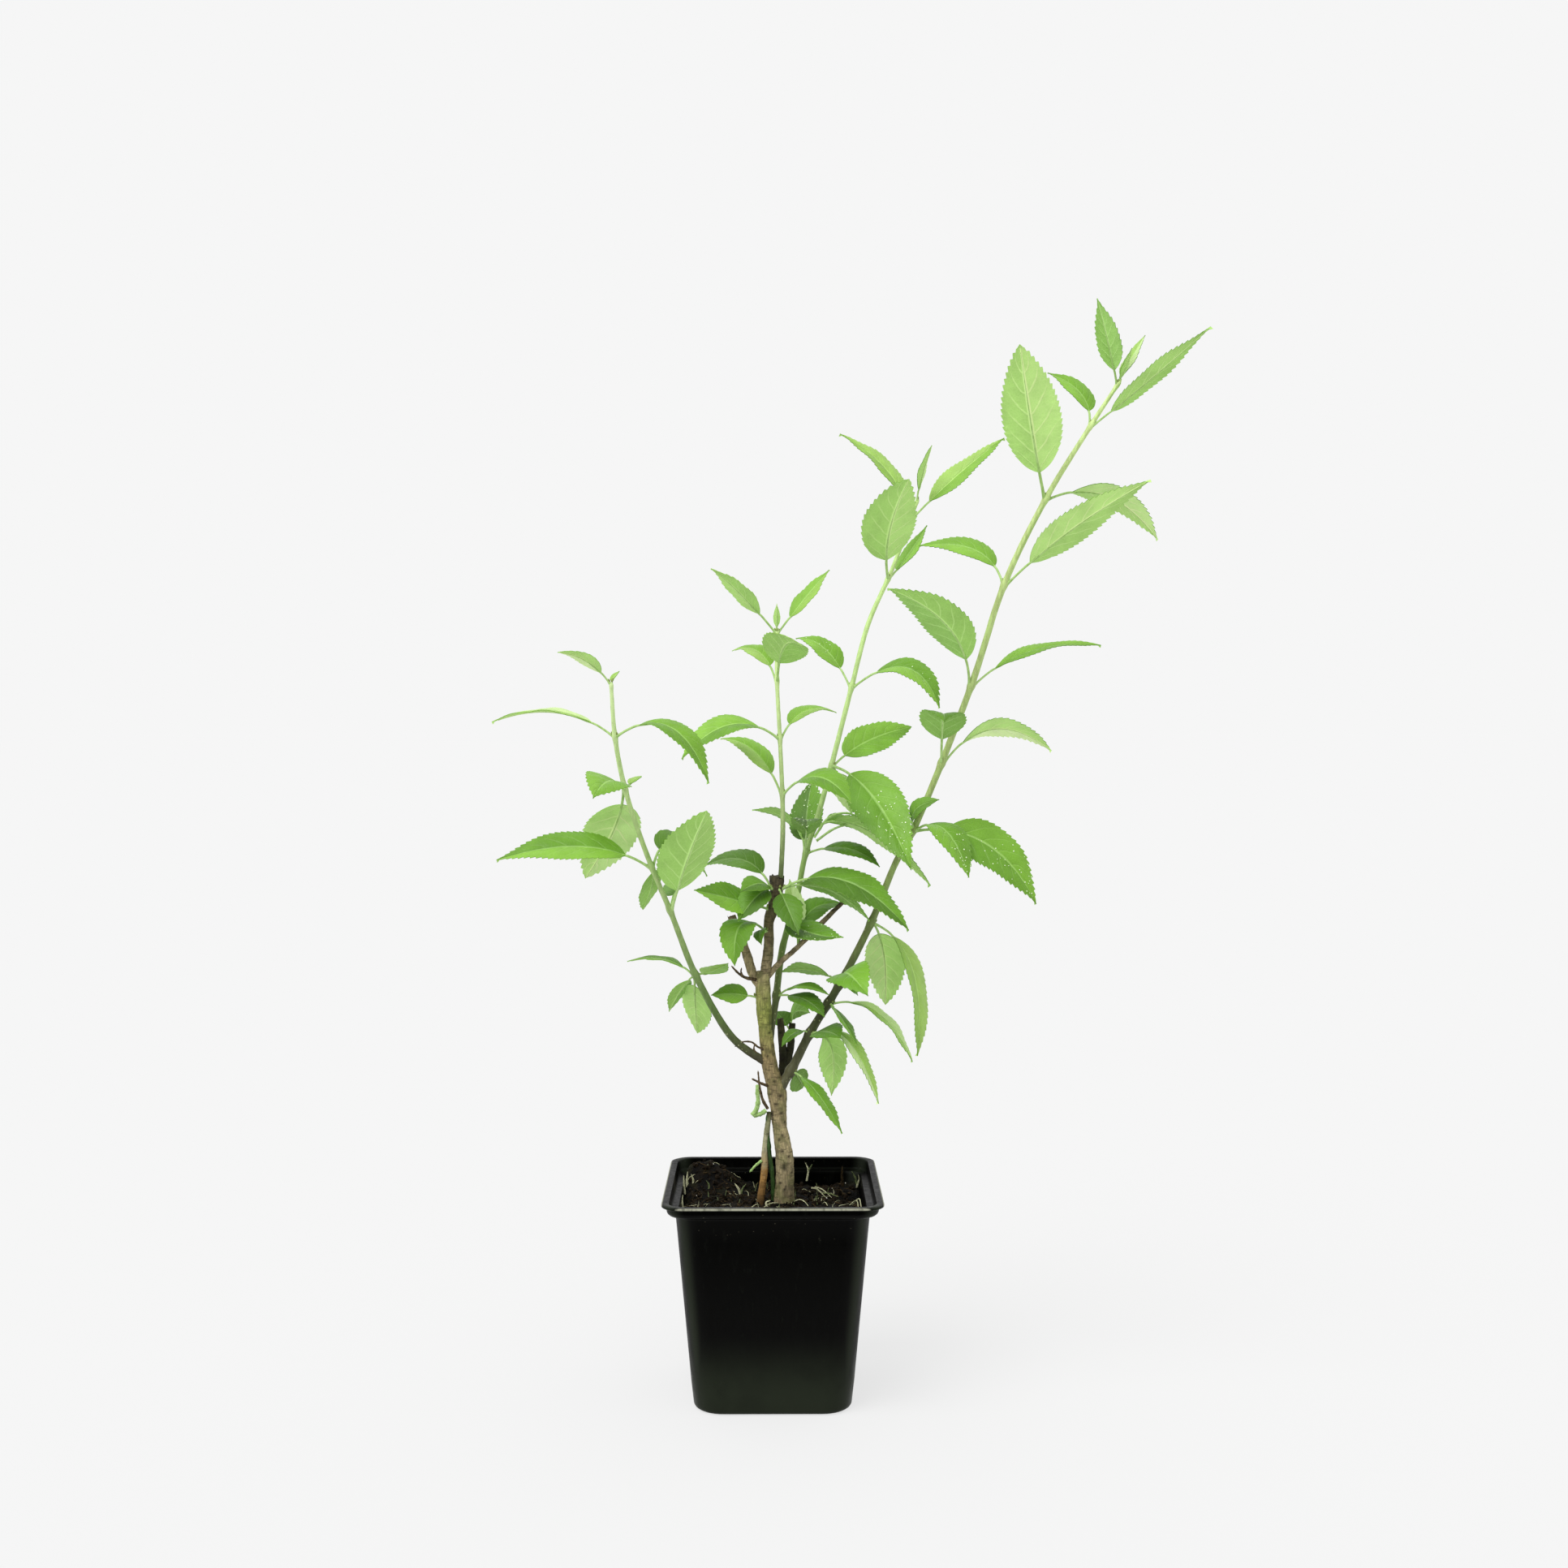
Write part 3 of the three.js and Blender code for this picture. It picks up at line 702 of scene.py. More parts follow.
FINISHES = {
    "stalk": PlainGrowth("leaf_stalk_waxy", "#B4D388", "#8FB35F", 1.5, 0.5, 0.3, 0.4),
    "drop": PlainGrowth("water_beads", "#E6F2CE", "#B9D894", 1.0, 0.12, 0.6),
    "bud": PlainGrowth("bud_scales", "#8FA85A", "#6E6A3A", 0.6, 0.6),
    "shoot_left": ShootFinish("young_bark_left", (
        (140, "#4A4632"), (165, "#5E7A3C"), (225, "#A9C47C"), (300, "#CDE4A2"))),
    "shoot_centre": ShootFinish("young_bark_centre", (
        (215, "#4A5530"), (240, "#A6BC7C"), (320, "#CBE39A"))),
    "shoot_middle": ShootFinish("young_bark_middle", (
        (150, "#56563A"), (205, "#7A9A4A"), (260, "#B2CE84"), (380, "#C0DC8C"))),
    "shoot_right": ShootFinish("young_bark_right", (
        (130, "#5C5A40"), (165, "#3A4424"), (235, "#93AC62"), (330, "#B6CE82"), (420, "#CCE496")), "#7A6A48"),
    "trunk": BarkFinish("trunk_bark_weathered", (
        (75, "#5C523C"), (100, "#8E8262"), (140, "#776949"), (160, "#858A48"), (180, "#8E8062"))),
    "fork_centre": BarkFinish("dead_fork_centre", ((170, "#8F8264"), (195, "#61563E"), (215, "#40392A")),
                              "#4C5530", "#100D07", 0.25),
    "fork_left": BarkFinish("dead_fork_left", ((170, "#9A8B6A"), (200, "#5A4E3A")),
                            "#4C5530", "#100D07", 0.2),
    "fork_right": BarkFinish("dead_fork_right", ((175, "#8F8264"), (205, "#4E4433")),
                             "#4C5530", "#100D07", 0.2),
    # dark dead wood on the two stubs, painted darker still, near black, for the shade of the crown over them
    "stub_left": BarkFinish("dead_stub_left_painted_shade", ((125, "#38351F"), (140, "#17150B"), (155, "#47442C")),
                            "#2C3018", "#080603"),
    "stub_right": BarkFinish("dead_stub_right_painted_shade", ((130, "#1C1A10"), (155, "#30301A")), "#2C3018", "#080603"),
    "side_stem": BarkFinish("side_cane_bark", (
        (75, "#16130A"), (92, "#9A7440"), (104, "#A8A484"), (120, "#45462A")),
        "#7C8A4A", "#2A1C10", 0.15, 1.3, 0.5),
    "strip": PlainGrowth("green_cane_bark", "#42612F", "#13210E", 1.6, 0.6, 0.2, 0.3),
    "twig": PlainGrowth("dead_twig_bark", "#6A5A40", "#2A2118", 1.0, 0.8, 0.2, 0.4),
    "green_twig": PlainGrowth("green_twig_bark", "#A9C97E", "#7C9E52", 1.6, 0.6),
    "root": PlainGrowth("dry_rootlets", "#C8C8A4", "#7F7F5F", 1.2, 0.8, 0.2),
    "crumb": PlainGrowth("peat_crumbs", "#231A0F", "#060503", 0.8, 0.9, 0.1),
    "chip": PlainGrowth("bark_fines", "#443620", "#1C160C", 1.0, 0.85, 0.1),
    "grain": PlainGrowth("perlite_grains", "#EDEBE0", "#C9C6B4", 0.6, 0.85, 0.3),
    "moss": PlainGrowth("moss_and_seedlings", "#7A8658", "#2F3820", 0.9, 0.8, 0.2),
}


class Palette:
    """Makes each material once."""

    def __init__(self) -> None:
        """Starts empty."""
        self.made: dict[str, Material] = {}

    def get(self, finish: object) -> Material:
        """The material of a finish, or of the finish named so."""
        spec = FINISHES[finish] if isinstance(finish, str) else finish
        if spec.name not in self.made:
            self.made[spec.name] = spec.make()
        return self.made[spec.name]


# ---- The plant's sizes -----------------------------------------------------------------
class Form(Enum):
    """Outline of a blade: how it swells from its base and how it narrows to its point."""
    LANCE = (0.74, 1.25)
    OVATE = (0.6, 0.92)
    NARROW = (0.85, 1.1)
    BLUNT = (0.8, 0.6)


@dataclass(frozen=True)
class Leaf:
    """One leaf, measured from the node it grows from.

    tip is where its point lies, bow how far its middle arches in x and z, roll its turn
    about the midrib, lift the rise of the margins over the midrib per half width, drops how
    many beads of water lie on it.
    """
    tip: Point
    bow: tuple[float, float]
    width: float
    roll: float
    tone: Tone
    form: Form = Form.LANCE
    lift: float = 0.2
    drops: int = 0


@dataclass(frozen=True)
class Sprout:
    """The leaves of one node: the limb, the node's height on it and the leaves."""
    limb: str
    height: float
    leaves: tuple[Leaf, ...]


# Each limb's points, foot first: x, y, z and radius.
LIMBS = {
    "trunk": Limb([(4.8, -3, 74, 4.7), (4.8, -3, 80, 4.2), (5, -2, 98, 3.8), (3, -1, 111, 3.1),
                   (1.7, 0, 126, 4.1), (-1.1, 0, 136, 3.3), (-3.1, 0, 152, 2.9), (-4, 0, 166, 3.2),
                   (-4, 0, 177, 3.1)]),
    "fork_centre": Limb([(-3.4, 0, 173, 2.4), (-1.6, -1, 190, 2.2), (-1.6, -1, 198, 2.2),
                         (1.3, -2, 208, 2.8), (1.7, -2, 217, 3.1)]),
    "fork_left": Limb([(-5, 0, 171, 2.2), (-8.6, 1, 176, 2.1), (-10.4, 3, 182, 2), (-17.3, 8, 199, 1.8)]),
    "fork_right": Limb([(-2, 0, 175, 1.5), (2, 0, 179.6, 1.2), (11.2, -1, 188, 1.1), (21, 0, 197.8, 1.1),
                        (29.4, 2, 205.8, 0.9)]),
    "stub_left": Limb([(2.6, 1, 124, 2), (4.4, 6.4, 137, 1.9), (3.2, 9, 155, 1.4)]),
    "stub_right": Limb([(4.4, 5.6, 133, 2), (7.2, 8.8, 141, 1.6), (8.4, 11, 153, 1.4)]),
    "side_stem": Limb([(-5.8, -4, 74, 1.7), (-5.2, -4, 80.5, 1.6), (-3.4, -3.6, 94, 1.5),
                       (-3.4, -3.4, 101, 1.3), (-2.6, -3.4, 109, 1.2), (-1.4, -3, 118, 1.1)]),
    "shoot_left": Limb([(-3, 0, 139, 2), (-6, -1, 140.7, 1.8), (-16.7, -5, 149.6, 1.6),
                        (-31.6, -13, 176.5, 1.3), (-41.9, -22, 204.8, 1.1), (-49.1, -27, 223.1, 1),
                        (-59, -34, 254, 1), (-62.7, -40, 275.9, 0.9), (-63.8, -45, 297.7, 0.7)]),
    "shoot_centre": Limb([(3.2, -2, 213, 1), (4.2, -5, 236, 1), (4, -7, 252, 0.9), (3, -8, 275, 0.8),
                          (1.8, -6, 299.1, 0.8), (1.7, -3, 321.6, 0.7)]),
    "shoot_middle": Limb([(-1.6, 2, 147, 1.4), (1, 5, 162, 1.4), (4.1, 8, 185.5, 1.4), (10.3, 11, 207, 1.2),
                          (13.8, 14, 224.5, 1.1), (20.9, 18, 246.9, 1.1), (34.2, 28, 296.9, 1),
                          (41.9, 35, 325.1, 1), (52.9, 41, 349.8, 0.9), (64.8, 48, 381.9, 0.7)]),
    "shoot_right": Limb([(3, 0, 128, 2), (7.1, 0, 134, 1.9), (15.7, -1, 151, 1.7), (28.2, -2, 172, 1.6),
                         (41.5, -3, 198.4, 1.4), (51.1, -5, 222.5, 1.3), (58.4, -7, 236.6, 1.3),
                         (81.5, -15, 296.4, 1.3), (94.5, -21, 338.2, 1.2), (110.2, -26, 371.6, 1.1),
                         (127.6, -29, 400.4, 0.9), (139.8, -31, 419.3, 0.7)]),
}

OVATE, NARROW, BLUNT = Form.OVATE, Form.NARROW, Form.BLUNT
D, M, S = Tone.DEEP, Tone.DUSKY, Tone.DARK
B, Y, P = Tone.FRESH, Tone.YOUNG, Tone.PALE

# The nodes of leaves, by the name of the leaf mass that each replaces. Each leaf's tone is partly its own
# green and partly painted light and shade: some leaves that face away from the light are given paler tones.
SPROUTS = {
    "left_1": Sprout("shoot_left", 177, (
        Leaf((-29, 8, 5), (2, 4), 12, 0, M, NARROW), Leaf((13, 17, 3), (0, -1), 12, -5, B),
        Leaf((-12, 14, -17), (0, 2), 10, 5, M), Leaf((0, 19, -27), (0, 1), 16, -35, B, OVATE))),
    "left_2": Sprout("shoot_left", 205, (
        Leaf((16, -28, 42), (-1, 0), 24, 5, B, OVATE, 0.35), Leaf((8, 40, 17), (-1, 3), 18, 35, M))),
    "left_3": Sprout("shoot_left", 223, (
        Leaf((-61, -13, 4), (4, 7), 20, 30, M), Leaf((22, 18, -5), (-3, 12), 18, -25, M),
        Leaf((-5, 18, -19), (2, 2), 13, 35, B, OVATE))),
    "left_4": Sprout("shoot_left", 255, (
        Leaf((-9, -38, -2), (0, 5), 18, 20, B), Leaf((-19, 29, -38), (4, 2), 23, -20, P, OVATE),
        Leaf((6, 8, 5), (0, 1), 6, 5, Y, NARROW))),
    "left_5": Sprout("shoot_left", 276, (
        Leaf((-51, 14, 6), (2, 7), 12, 5, Y, NARROW), Leaf((38, -16, -18), (3, 13), 16, -10, M))),
    "left_6": Sprout("shoot_left", 297, (
        Leaf((-20, -9, 12), (1, 3), 9, -20, Y), Leaf((3, 3, 5), (-1, 0), 4, 0, Y))),
    "trunk_1": Sprout("trunk", 166, (Leaf((-22, 0, 1), (0, 1), 12, 35, M),)),
    "crown_1": Sprout("fork_centre", 212, (
        Leaf((-31, 10, 9), (3, 7), 18, 20, D), Leaf((-15, -15, 0), (1, 3), 12, 25, D),
        Leaf((54, -22, -15), (0, 12), 19, -25, D), Leaf((39, -4, -13), (0, 7), 14, 30, S),
        Leaf((-16, -15, -12), (1, 4), 14, 20, D), Leaf((9, -20, -17), (-1, 3), 12, -15, S))),
    "crown_2": Sprout("fork_centre", 203, (
        Leaf((-32, -16, 10), (1, 0), 18, 40, M), Leaf((29, -20, -9), (-1, -3), 18, -15, D, drops=16),
        Leaf((13, -8, 3), (0, 1), 11, -20, D))),
    "crown_3": Sprout("fork_centre", 194, (
        Leaf((-14, -20, -12), (-4, 10), 16, -5, M), Leaf((-3, -14, -4), (-2, 3), 6, -30, D))),
    "crown_4": Sprout("fork_right", 188, (
        Leaf((20, 16, 16), (-5, 6), 14, -20, M), Leaf((-4, 12, 27), (0, 2), 10, 10, P))),
    "middle_1": Sprout("shoot_middle", 166, (
        Leaf((22, -12, 2), (-1, 4), 11, -5, M), Leaf((20, -20, -6), (1, 3), 12, -10, D))),
    "middle_2": Sprout("shoot_middle", 226, (
        Leaf((31, -12, -5), (1, 5), 15, -15, D), Leaf((0, -38, 11), (0, 9), 13, 0, D, drops=20),
        Leaf((-23, 12, 18), (6, 4), 12, -30, S), Leaf((3, 26, 30), (-1, -1), 17, 25, D, OVATE, drops=24))),
    "middle_3": Sprout("shoot_middle", 237, (
        Leaf((49, -14, -24), (-3, 12), 15, 35, B, drops=14), Leaf((28, 15, -8), (-1, 6), 13, -25, M))),
    "middle_4": Sprout("shoot_middle", 263, (
        Leaf((31, -45, -41), (1, 8), 22, -35, M, drops=46), Leaf((9, 3, -21), (0, 2), 12, 35, P),
        Leaf((36, 20, 17), (-3, 2), 17, -40, B, OVATE))),
    "middle_5": Sprout("shoot_middle", 297, (
        Leaf((-24, 14, 22), (1, 6), 14, 20, B, drops=8),
        Leaf((37, -16, -9), (4, 13), 16, -25, M, drops=12))),
    "middle_6": Sprout("shoot_middle", 345, (
        Leaf((7, -28, 40), (-4, -1), 25, 5, B, OVATE, 0.4), Leaf((18, 14, 25), (0, -1), 12, 5, B))),
    "middle_7": Sprout("shoot_middle", 372, (
        Leaf((43, 15, 38), (-1, 1), 14, -25, B), Leaf((-31, 10, 39), (6, 2), 14, 20, Y))),
    "middle_8": Sprout("shoot_middle", 380, (Leaf((6, -4, 24), (-1, 0), 9, -5, Y),)),
    "centre_1": Sprout("shoot_centre", 252, (
        Leaf((-26, 10, 23), (2, 6), 16, 15, B), Leaf((28, -20, -3), (0, 9), 17, -20, M))),
    "centre_2": Sprout("shoot_centre", 275, (
        Leaf((-40, -18, -8), (0, 10), 18, 20, M), Leaf((24, 14, 11), (-2, 6), 13, -10, B))),
    "centre_3": Sprout("shoot_centre", 299, (
        Leaf((-19, 12, 13), (2, 6), 13, 15, B), Leaf((10, -36, 13), (-2, 7), 19, 25, B, OVATE))),
    "centre_4": Sprout("shoot_centre", 319, (
        Leaf((-27, -10, 26), (-2, 4), 13, -15, B), Leaf((22, 8, 27), (1, 2), 12, -15, B),
        Leaf((0, -2, 12), (0, 0), 3, 0, Y))),
    "right_1": Sprout("shoot_right", 135, (
        Leaf((21, -21, -22), (-1, 5), 10, 5, M), Leaf((5, 13, -10), (0, 1), 11, 60, D, BLUNT))),
    "right_2": Sprout("shoot_right", 151, (
        Leaf((9, 3, -27), (4, 7), 13, 20, B), Leaf((12, -24, 2), (0, 2), 14, -20, D),
        Leaf((-12, -9, -4), (0, 3), 8, 5, S), Leaf((28, -19, -26), (1, 12), 11, 5, Y))),
    "right_3": Sprout("shoot_right", 164, (
        Leaf((11, -22, -14), (-1, 3), 12, 35, S), Leaf((35, -6, -24), (2, 9), 13, -5, Y, NARROW))),
    "right_4": Sprout("shoot_right", 172, (
        Leaf((10, -34, 0), (-3, 7), 18, -25, M), Leaf((-25, 15, 3), (2, 3), 13, -30, S),
        Leaf((8, 7, -6), (1, 1), 6, -50, M))),
    "right_5": Sprout("shoot_right", 198, (
        Leaf((7, 16, -37), (2, 4), 17, 5, Y, OVATE), Leaf((19, -8, -55), (7, 9), 15, 5, Y, NARROW))),
    "right_6": Sprout("shoot_right", 237, (
        Leaf((21, -22, -18), (1, 10), 17, -5, M, drops=22),
        Leaf((50, -10, -30), (4, 10), 22, -45, M, drops=34),
        Leaf((10, -8, 13), (-5, 2), 9, -50, M))),
    "right_7": Sprout("shoot_right", 265, (
        Leaf((-2, -34, 17), (0, 10), 19, 5, S), Leaf((47, 10, 5), (-2, 12), 14, 30, Y, drops=14))),
    "right_8": Sprout("shoot_right", 297, (
        Leaf((-36, -24, 38), (8, 4), 19, -30, M), Leaf((55, 10, 17), (-3, 6), 12, -15, B, NARROW))),
    "right_9": Sprout("shoot_right", 338, (
        Leaf((-34, 14, 17), (6, 6), 15, 30, B), Leaf((54, -26, 39), (-3, 1), 16, 40, B))),
    "right_10": Sprout("shoot_right", 372, (
        Leaf((-14, -24, 57), (0, -3), 26, -15, B, OVATE, 0.5), Leaf((50, 22, -14), (1, 10), 17, 15, P))),
    "right_11": Sprout("shoot_right", 401, (
        Leaf((-16, 10, 23), (5, 2), 13, 25, B), Leaf((45, -12, 37), (-3, -3), 11, 30, B))),
    "right_12": Sprout("shoot_right", 417, (
        Leaf((-10, -10, 32), (1, -2), 11, -5, M), Leaf((12, 6, 21), (-1, -1), 8, -5, Y),
        Leaf((5, -3, 14), (0, -1), 4, 15, Y))),
    "stub_1": Sprout("stub_right", 150, (
        Leaf((8, 12, 6), (-4, 4), 12, 60, S), Leaf((-7, 9, 7), (0, 1), 9, 30, S))),
}


@dataclass(frozen=True)
class Twig:
    """A small dead or green twig through a few points, tapering from its foot to its tip."""
    via: tuple[Point, ...]
    foot: float
    tip: float
    finish: str


# Slot names for the twigs' finishes, where it isn't dead wood; each twig piece looks its name up but does not
# use it.
TWIG_SLOTS = {"strip": "bark", "green_twig": "green_bark", "stalk": "green_bark"}
TWIGS = (
    Twig(((0.3, -1, 80.4), (-0.1, -3.2, 89.9), (-1.4, -3.8, 101.1), (-2.1, -3.6, 109.6),
          (-2.4, -3.2, 117.4)), 1.0, 0.7, "strip"),
    Twig(((-8.6, -4, 116.9), (-7.2, -4, 118.6), (-6.2, -4, 122.7), (-6.5, -4, 126.8),
          (-6.5, -4, 129.9)), 1.1, 0.7, "green_twig"),
    Twig(((-2.8, -3.2, 118.8), (-4.8, -3.6, 117.5), (-8.4, -4, 116.6)), 0.9, 0.9, "green_twig"),
    Twig(((-4.6, -4.4, 97.8), (-7.4, -4.8, 95.6), (-9.7, -5, 93)), 0.6, 0.4, "green_twig"),
    Twig(((-2.1, -3, 119.4), (-4.1, -3.5, 123), (-5.2, -3.5, 127.1), (-5.8, -3.5, 131.2),
          (-6.2, -3.6, 135.7)), 0.7, 0.3, "twig"),
    Twig(((-1.4, -1, 128.6), (-3.8, -3, 129.7), (-6.2, -3.5, 130.9), (-8.9, -3.8, 132.3)), 0.7, 0.35, "twig"),
    Twig(((-2.8, -2, 143.9), (-6.2, -3, 145.5), (-8.9, -4, 147.7), (-13, -4.6, 147.8),
          (-16, -4.8, 145.8)), 0.5, 0.25, "twig"),
    Twig(((-6.2, -2, 141.9), (-7.9, -3, 144.5), (-7.5, -3.4, 146.9)), 0.5, 0.25, "twig"),
    Twig(((-6.9, -1, 173.6), (-10.9, -2.5, 174.5), (-14, -3.2, 176.3),
          (-17.4, -3.6, 179.8)), 0.8, 0.35, "twig"),
    Twig(((-9.6, -1.8, 174.1), (-12, -3, 174.9), (-13.3, -3.6, 177.1),
          (-13, -3.9, 179.1)), 0.6, 0.25, "twig"),
    Twig(((17.7, 15, 232.5), (24.3, 15, 241.2), (32.3, 15, 242.9), (39.6, 15, 239.4)), 0.55, 0.35, "stalk"),
    Twig(((18.7, 14, 231.1), (26.3, 14, 236.3), (34, 14, 238.4), (37.5, 14, 237.4)), 0.55, 0.35, "stalk"),
)


# ---- Bark ------------------------------------------------------------------------------
@dataclass
class Woodwork:
    """The trunk, the dead forks and stubs, the side cane and the small twigs."""
    palette: Palette
    ground: float = 79.6           # where trunk and cane are cut off flat
    ring_step: float = 0.6
    trunk_sides: int = 44
    dead_sides: int = 26
    twig_sides: int = 9
    lenticels: int = 46            # on the trunk, on a dead limb and on the side cane
    dead_lenticels: int = 14
    cane_lenticels: int = 10
    trunk_marked: tuple[float, float] = (84, 174)    # heights between which they lie
    cane_marked: tuple[float, float] = (84, 118)
    dead_end: float = 2.2          # how far a broken end's splinters stand up
    cane_end: float = 0.6
    flare: float = 0.2             # widening of the trunk's foot
    lump: float = 0.45             # heights of the bark's relief, in millimetres
    fibre: float = -0.4
    grain: float = 0.1
    full_size: float = 3.2         # a limb this thick has the full relief
    splinter: float = 3.5          # how far a broken end's splinters reach down
    scar_reach: float = 2.2        # in half sizes of the scar
    scar_rim: float = 0.22         # height of its raised rim per half width
    # height, angle in degrees, half width and half height of the trunk's leaf scars
    scars: tuple[Four, ...] = (
        (95.2, -95, 1.1, 2.2), (108.2, -80, 0.7, 0.9), (92.8, -40, 0.9, 0.8), (106.5, -110, 0.8, 0.9),
        (99.5, -60, 0.9, 0.7), (101.8, -100, 0.8, 0.6), (117.5, -75, 1.0, 0.7), (121.3, -105, 1.2, 0.7),
        (124.8, -70, 1.1, 0.8), (131, -85, 0.9, 0.7), (86, -90, 0.7, 0.7), (88.6, -120, 0.9, 0.6))

    def relief(self, at: Vector, size: float) -> float:
        """Lumps and fibres of bark at a point, in millimetres, for a limb of that size."""
        lump = noise.noise(Vector((at.x * 0.5, at.y * 0.5, at.z * 0.14))) * self.lump
        fibre = Vector((at.x * 1.5, at.y * 1.5, at.z * 0.2)) + Vector((7, 3, 1))
        grain = noise.noise(Vector((at.x * 3.1, at.y * 3.1, at.z * 1.1))) * self.grain
        return (lump + abs(noise.noise(fibre)) * self.fibre + grain) * min(1.0, size / self.full_size)

    def grown(self, bm: Mesh, name: str, sides: int, marks: list[Four],
              rough_end: float = 0.0, flare: float = 0.0) -> None:
        """Adds one woody limb with relief, marks and a broken end.

        Args:
            bm: the mesh being built.
            name: the limb.
            sides: faces round it.
            marks: height, angle in degrees, half width and half height of each scar.
            rough_end: how far the broken end's splinters stand up.
            flare: widening at the foot, in millimetres.
        """
        limb = LIMBS[name]
        ts = limb.spread(self.ring_step)
        path = stations([limb.point(t) for t in ts])
        scar = bm.verts.layers.float["scar"]

        def surface(row: int, angle: float) -> tuple[float, float]:
            """Radius and scar at a ring and angle."""
            s = path[row]
            r = limb.radius(ts[row])
            foot = flare * bell(s.at.z - self.ground, 5.0) * (0.6 + 0.4 * math.cos(3 * angle + 1))
            on = s.at + (s.side * math.cos(angle) + s.over * math.sin(angle)) * r
            r += self.relief(on, r) + foot
            dark = 0.0
            for z, degrees, wide, tall in marks:
                turn = math.atan2(on.y - s.at.y, on.x - s.at.x) - math.radians(degrees)
                turn = (turn + math.pi) % (2 * math.pi) - math.pi
                d = math.hypot(turn * r / wide, (on.z - z) / tall)
                if d < self.scar_reach:
                    dark = max(dark, bell(d, 0.85))
                    r += self.scar_rim * wide * (bell(d - 1.15, 0.4) - 1.3 * bell(d, 0.7))
            return r, dark

        found = {}

        def radius(row: int, angle: float) -> float:
            """Radius of the bark's surface."""
            found[row, round(angle, 4)] = surface(row, angle)
            return found[row, round(angle, 4)][0]

        verts = add_tube(bm, path, sides, radius)
        lookup = {}
        for (row, angle), (r, dark) in found.items():
            s = path[row]
            spot = s.at + s.side * (r * math.cos(angle)) + s.over * (r * math.sin(angle))
            lookup[tuple(round(c, 2) for c in spot)] = dark
        for v in verts:
            v[scar] = lookup.get(tuple(round(c, 2) for c in v.co), 0.0)
            if rough_end and (v.co - path[-1].at).length < self.splinter:
                near = smooth(self.splinter, 0.0, (v.co - path[-1].at).dot(-path[-1].along))
                v.co += path[-1].along * (noise.noise(v.co * 1.9) * rough_end * near)

    def random_marks(self, rng: random.Random, heights: tuple[float, float], count: int) -> list[Four]:
        """Lenticels scattered over a stretch of wood: height, angle, half width and half height."""
        ranges = (heights, (-180, 180), (0.35, 0.9), (0.22, 0.42))
        return [tuple(rng.uniform(*ends) for ends in ranges) for _ in range(count)]

    def cut_foot(self, bm: Mesh) -> None:
        """Cuts what is below the compost's surface off and closes the cut."""
        cut = bmesh.ops.bisect_plane(bm, geom=[*bm.verts, *bm.edges, *bm.faces], plane_no=UP,
                                     plane_co=(0, 0, self.ground - 1.5), clear_inner=True)
        rim = [g for g in cut["geom_cut"] if isinstance(g, Edge)]
        bmesh.ops.holes_fill(bm, edges=rim, sides=0)

    def build(self, rng: random.Random) -> None:
        """Builds every woody piece."""
        bm = new_mesh("scar")
        marks = [*self.scars, *self.random_marks(rng, self.trunk_marked, self.lenticels)]
        self.grown(bm, "trunk", self.trunk_sides, marks, 0.0, self.flare)
        self.cut_foot(bm)
        piece("trunk_bark", bm, [self.palette.get("trunk")], ("trunk",))
        for name in ("fork_centre", "fork_left", "fork_right", "stub_left", "stub_right"):
            bm = new_mesh("scar")
            ends = LIMBS[name].points[0].z, LIMBS[name].points[-1].z
            marks = self.random_marks(rng, ends, self.dead_lenticels)
            self.grown(bm, name, self.dead_sides, marks, self.dead_end)
            piece(f"{name}_bark", bm, [self.palette.get(name)], (name,))
        bm = new_mesh("scar")
        marks = self.random_marks(rng, self.cane_marked, self.cane_lenticels)
        self.grown(bm, "side_stem", self.dead_sides, marks, self.cane_end)
        self.cut_foot(bm)
        piece("side_stem_bark", bm, [self.palette.get("side_stem")], ("side_stem",))
        self.build_twigs(rng)

    def build_twigs(self, rng: random.Random) -> None:
        """Builds the twigs, joined by finish."""
        for finish in sorted({t.finish for t in TWIGS}):
            bm = new_mesh("shade")
            shade = bm.verts.layers.float["shade"]
            for twig in (t for t in TWIGS if t.finish == finish):
                limb = Limb([(*p, 1.0) for p in twig.via])
                ts = limb.spread(0.5)
                path = stations([limb.point(t) for t in ts])
                phase = rng.uniform(0, 9)

                def radius(row: int, angle: float) -> float:
                    """Tapering, knotty radius."""
                    t = ts[row]
                    knot = 0.25 * bell((t * 4 + phase) % 1 - 0.5, 0.12)
                    key = Vector((math.cos(angle), math.sin(angle), phase))
                    rough = 0.14 * noise.noise(path[row].at * 1.4 + key)
                    end = math.sqrt(max(0.02, 1 - smooth(0.94, 1.0, t)))
                    return (twig.foot + (twig.tip - twig.foot) * t) * (1 + knot + rough) * end

                for v in add_tube(bm, path, self.twig_sides, radius):
                    v[shade] = rng.random() * 0.3 + 0.3
            slot = TWIG_SLOTS.get(finish, "deadwood")
            piece(f"twigs_{finish}", bm, [self.palette.get(finish)])


# ---- Shoots and leaves -----------------------------------------------------------------
@dataclass
class Course:
    """The line a leaf follows, out along its stalk and over in an arch."""
    stations: list[Station]
    start: float                   # where along it the blade begins, 0 to 1

    def sample(self, t: float) -> Station:
        """The station at t, between the two nearest."""
        place = min(max(t, 0.0), 1.0) * (len(self.stations) - 1)
        i = min(int(place), len(self.stations) - 2)
        w = place - i
        a, b = self.stations[i], self.stations[i + 1]
        return Station(a.at.lerp(b.at, w), a.side.lerp(b.side, w),
                       a.over.lerp(b.over, w), a.along.lerp(b.along, w))

    def on_blade(self, v: float) -> Station:
        """The station at v, 0 at the blade's base to 1 at its point."""
        return self.sample(self.start + (1 - self.start) * v)


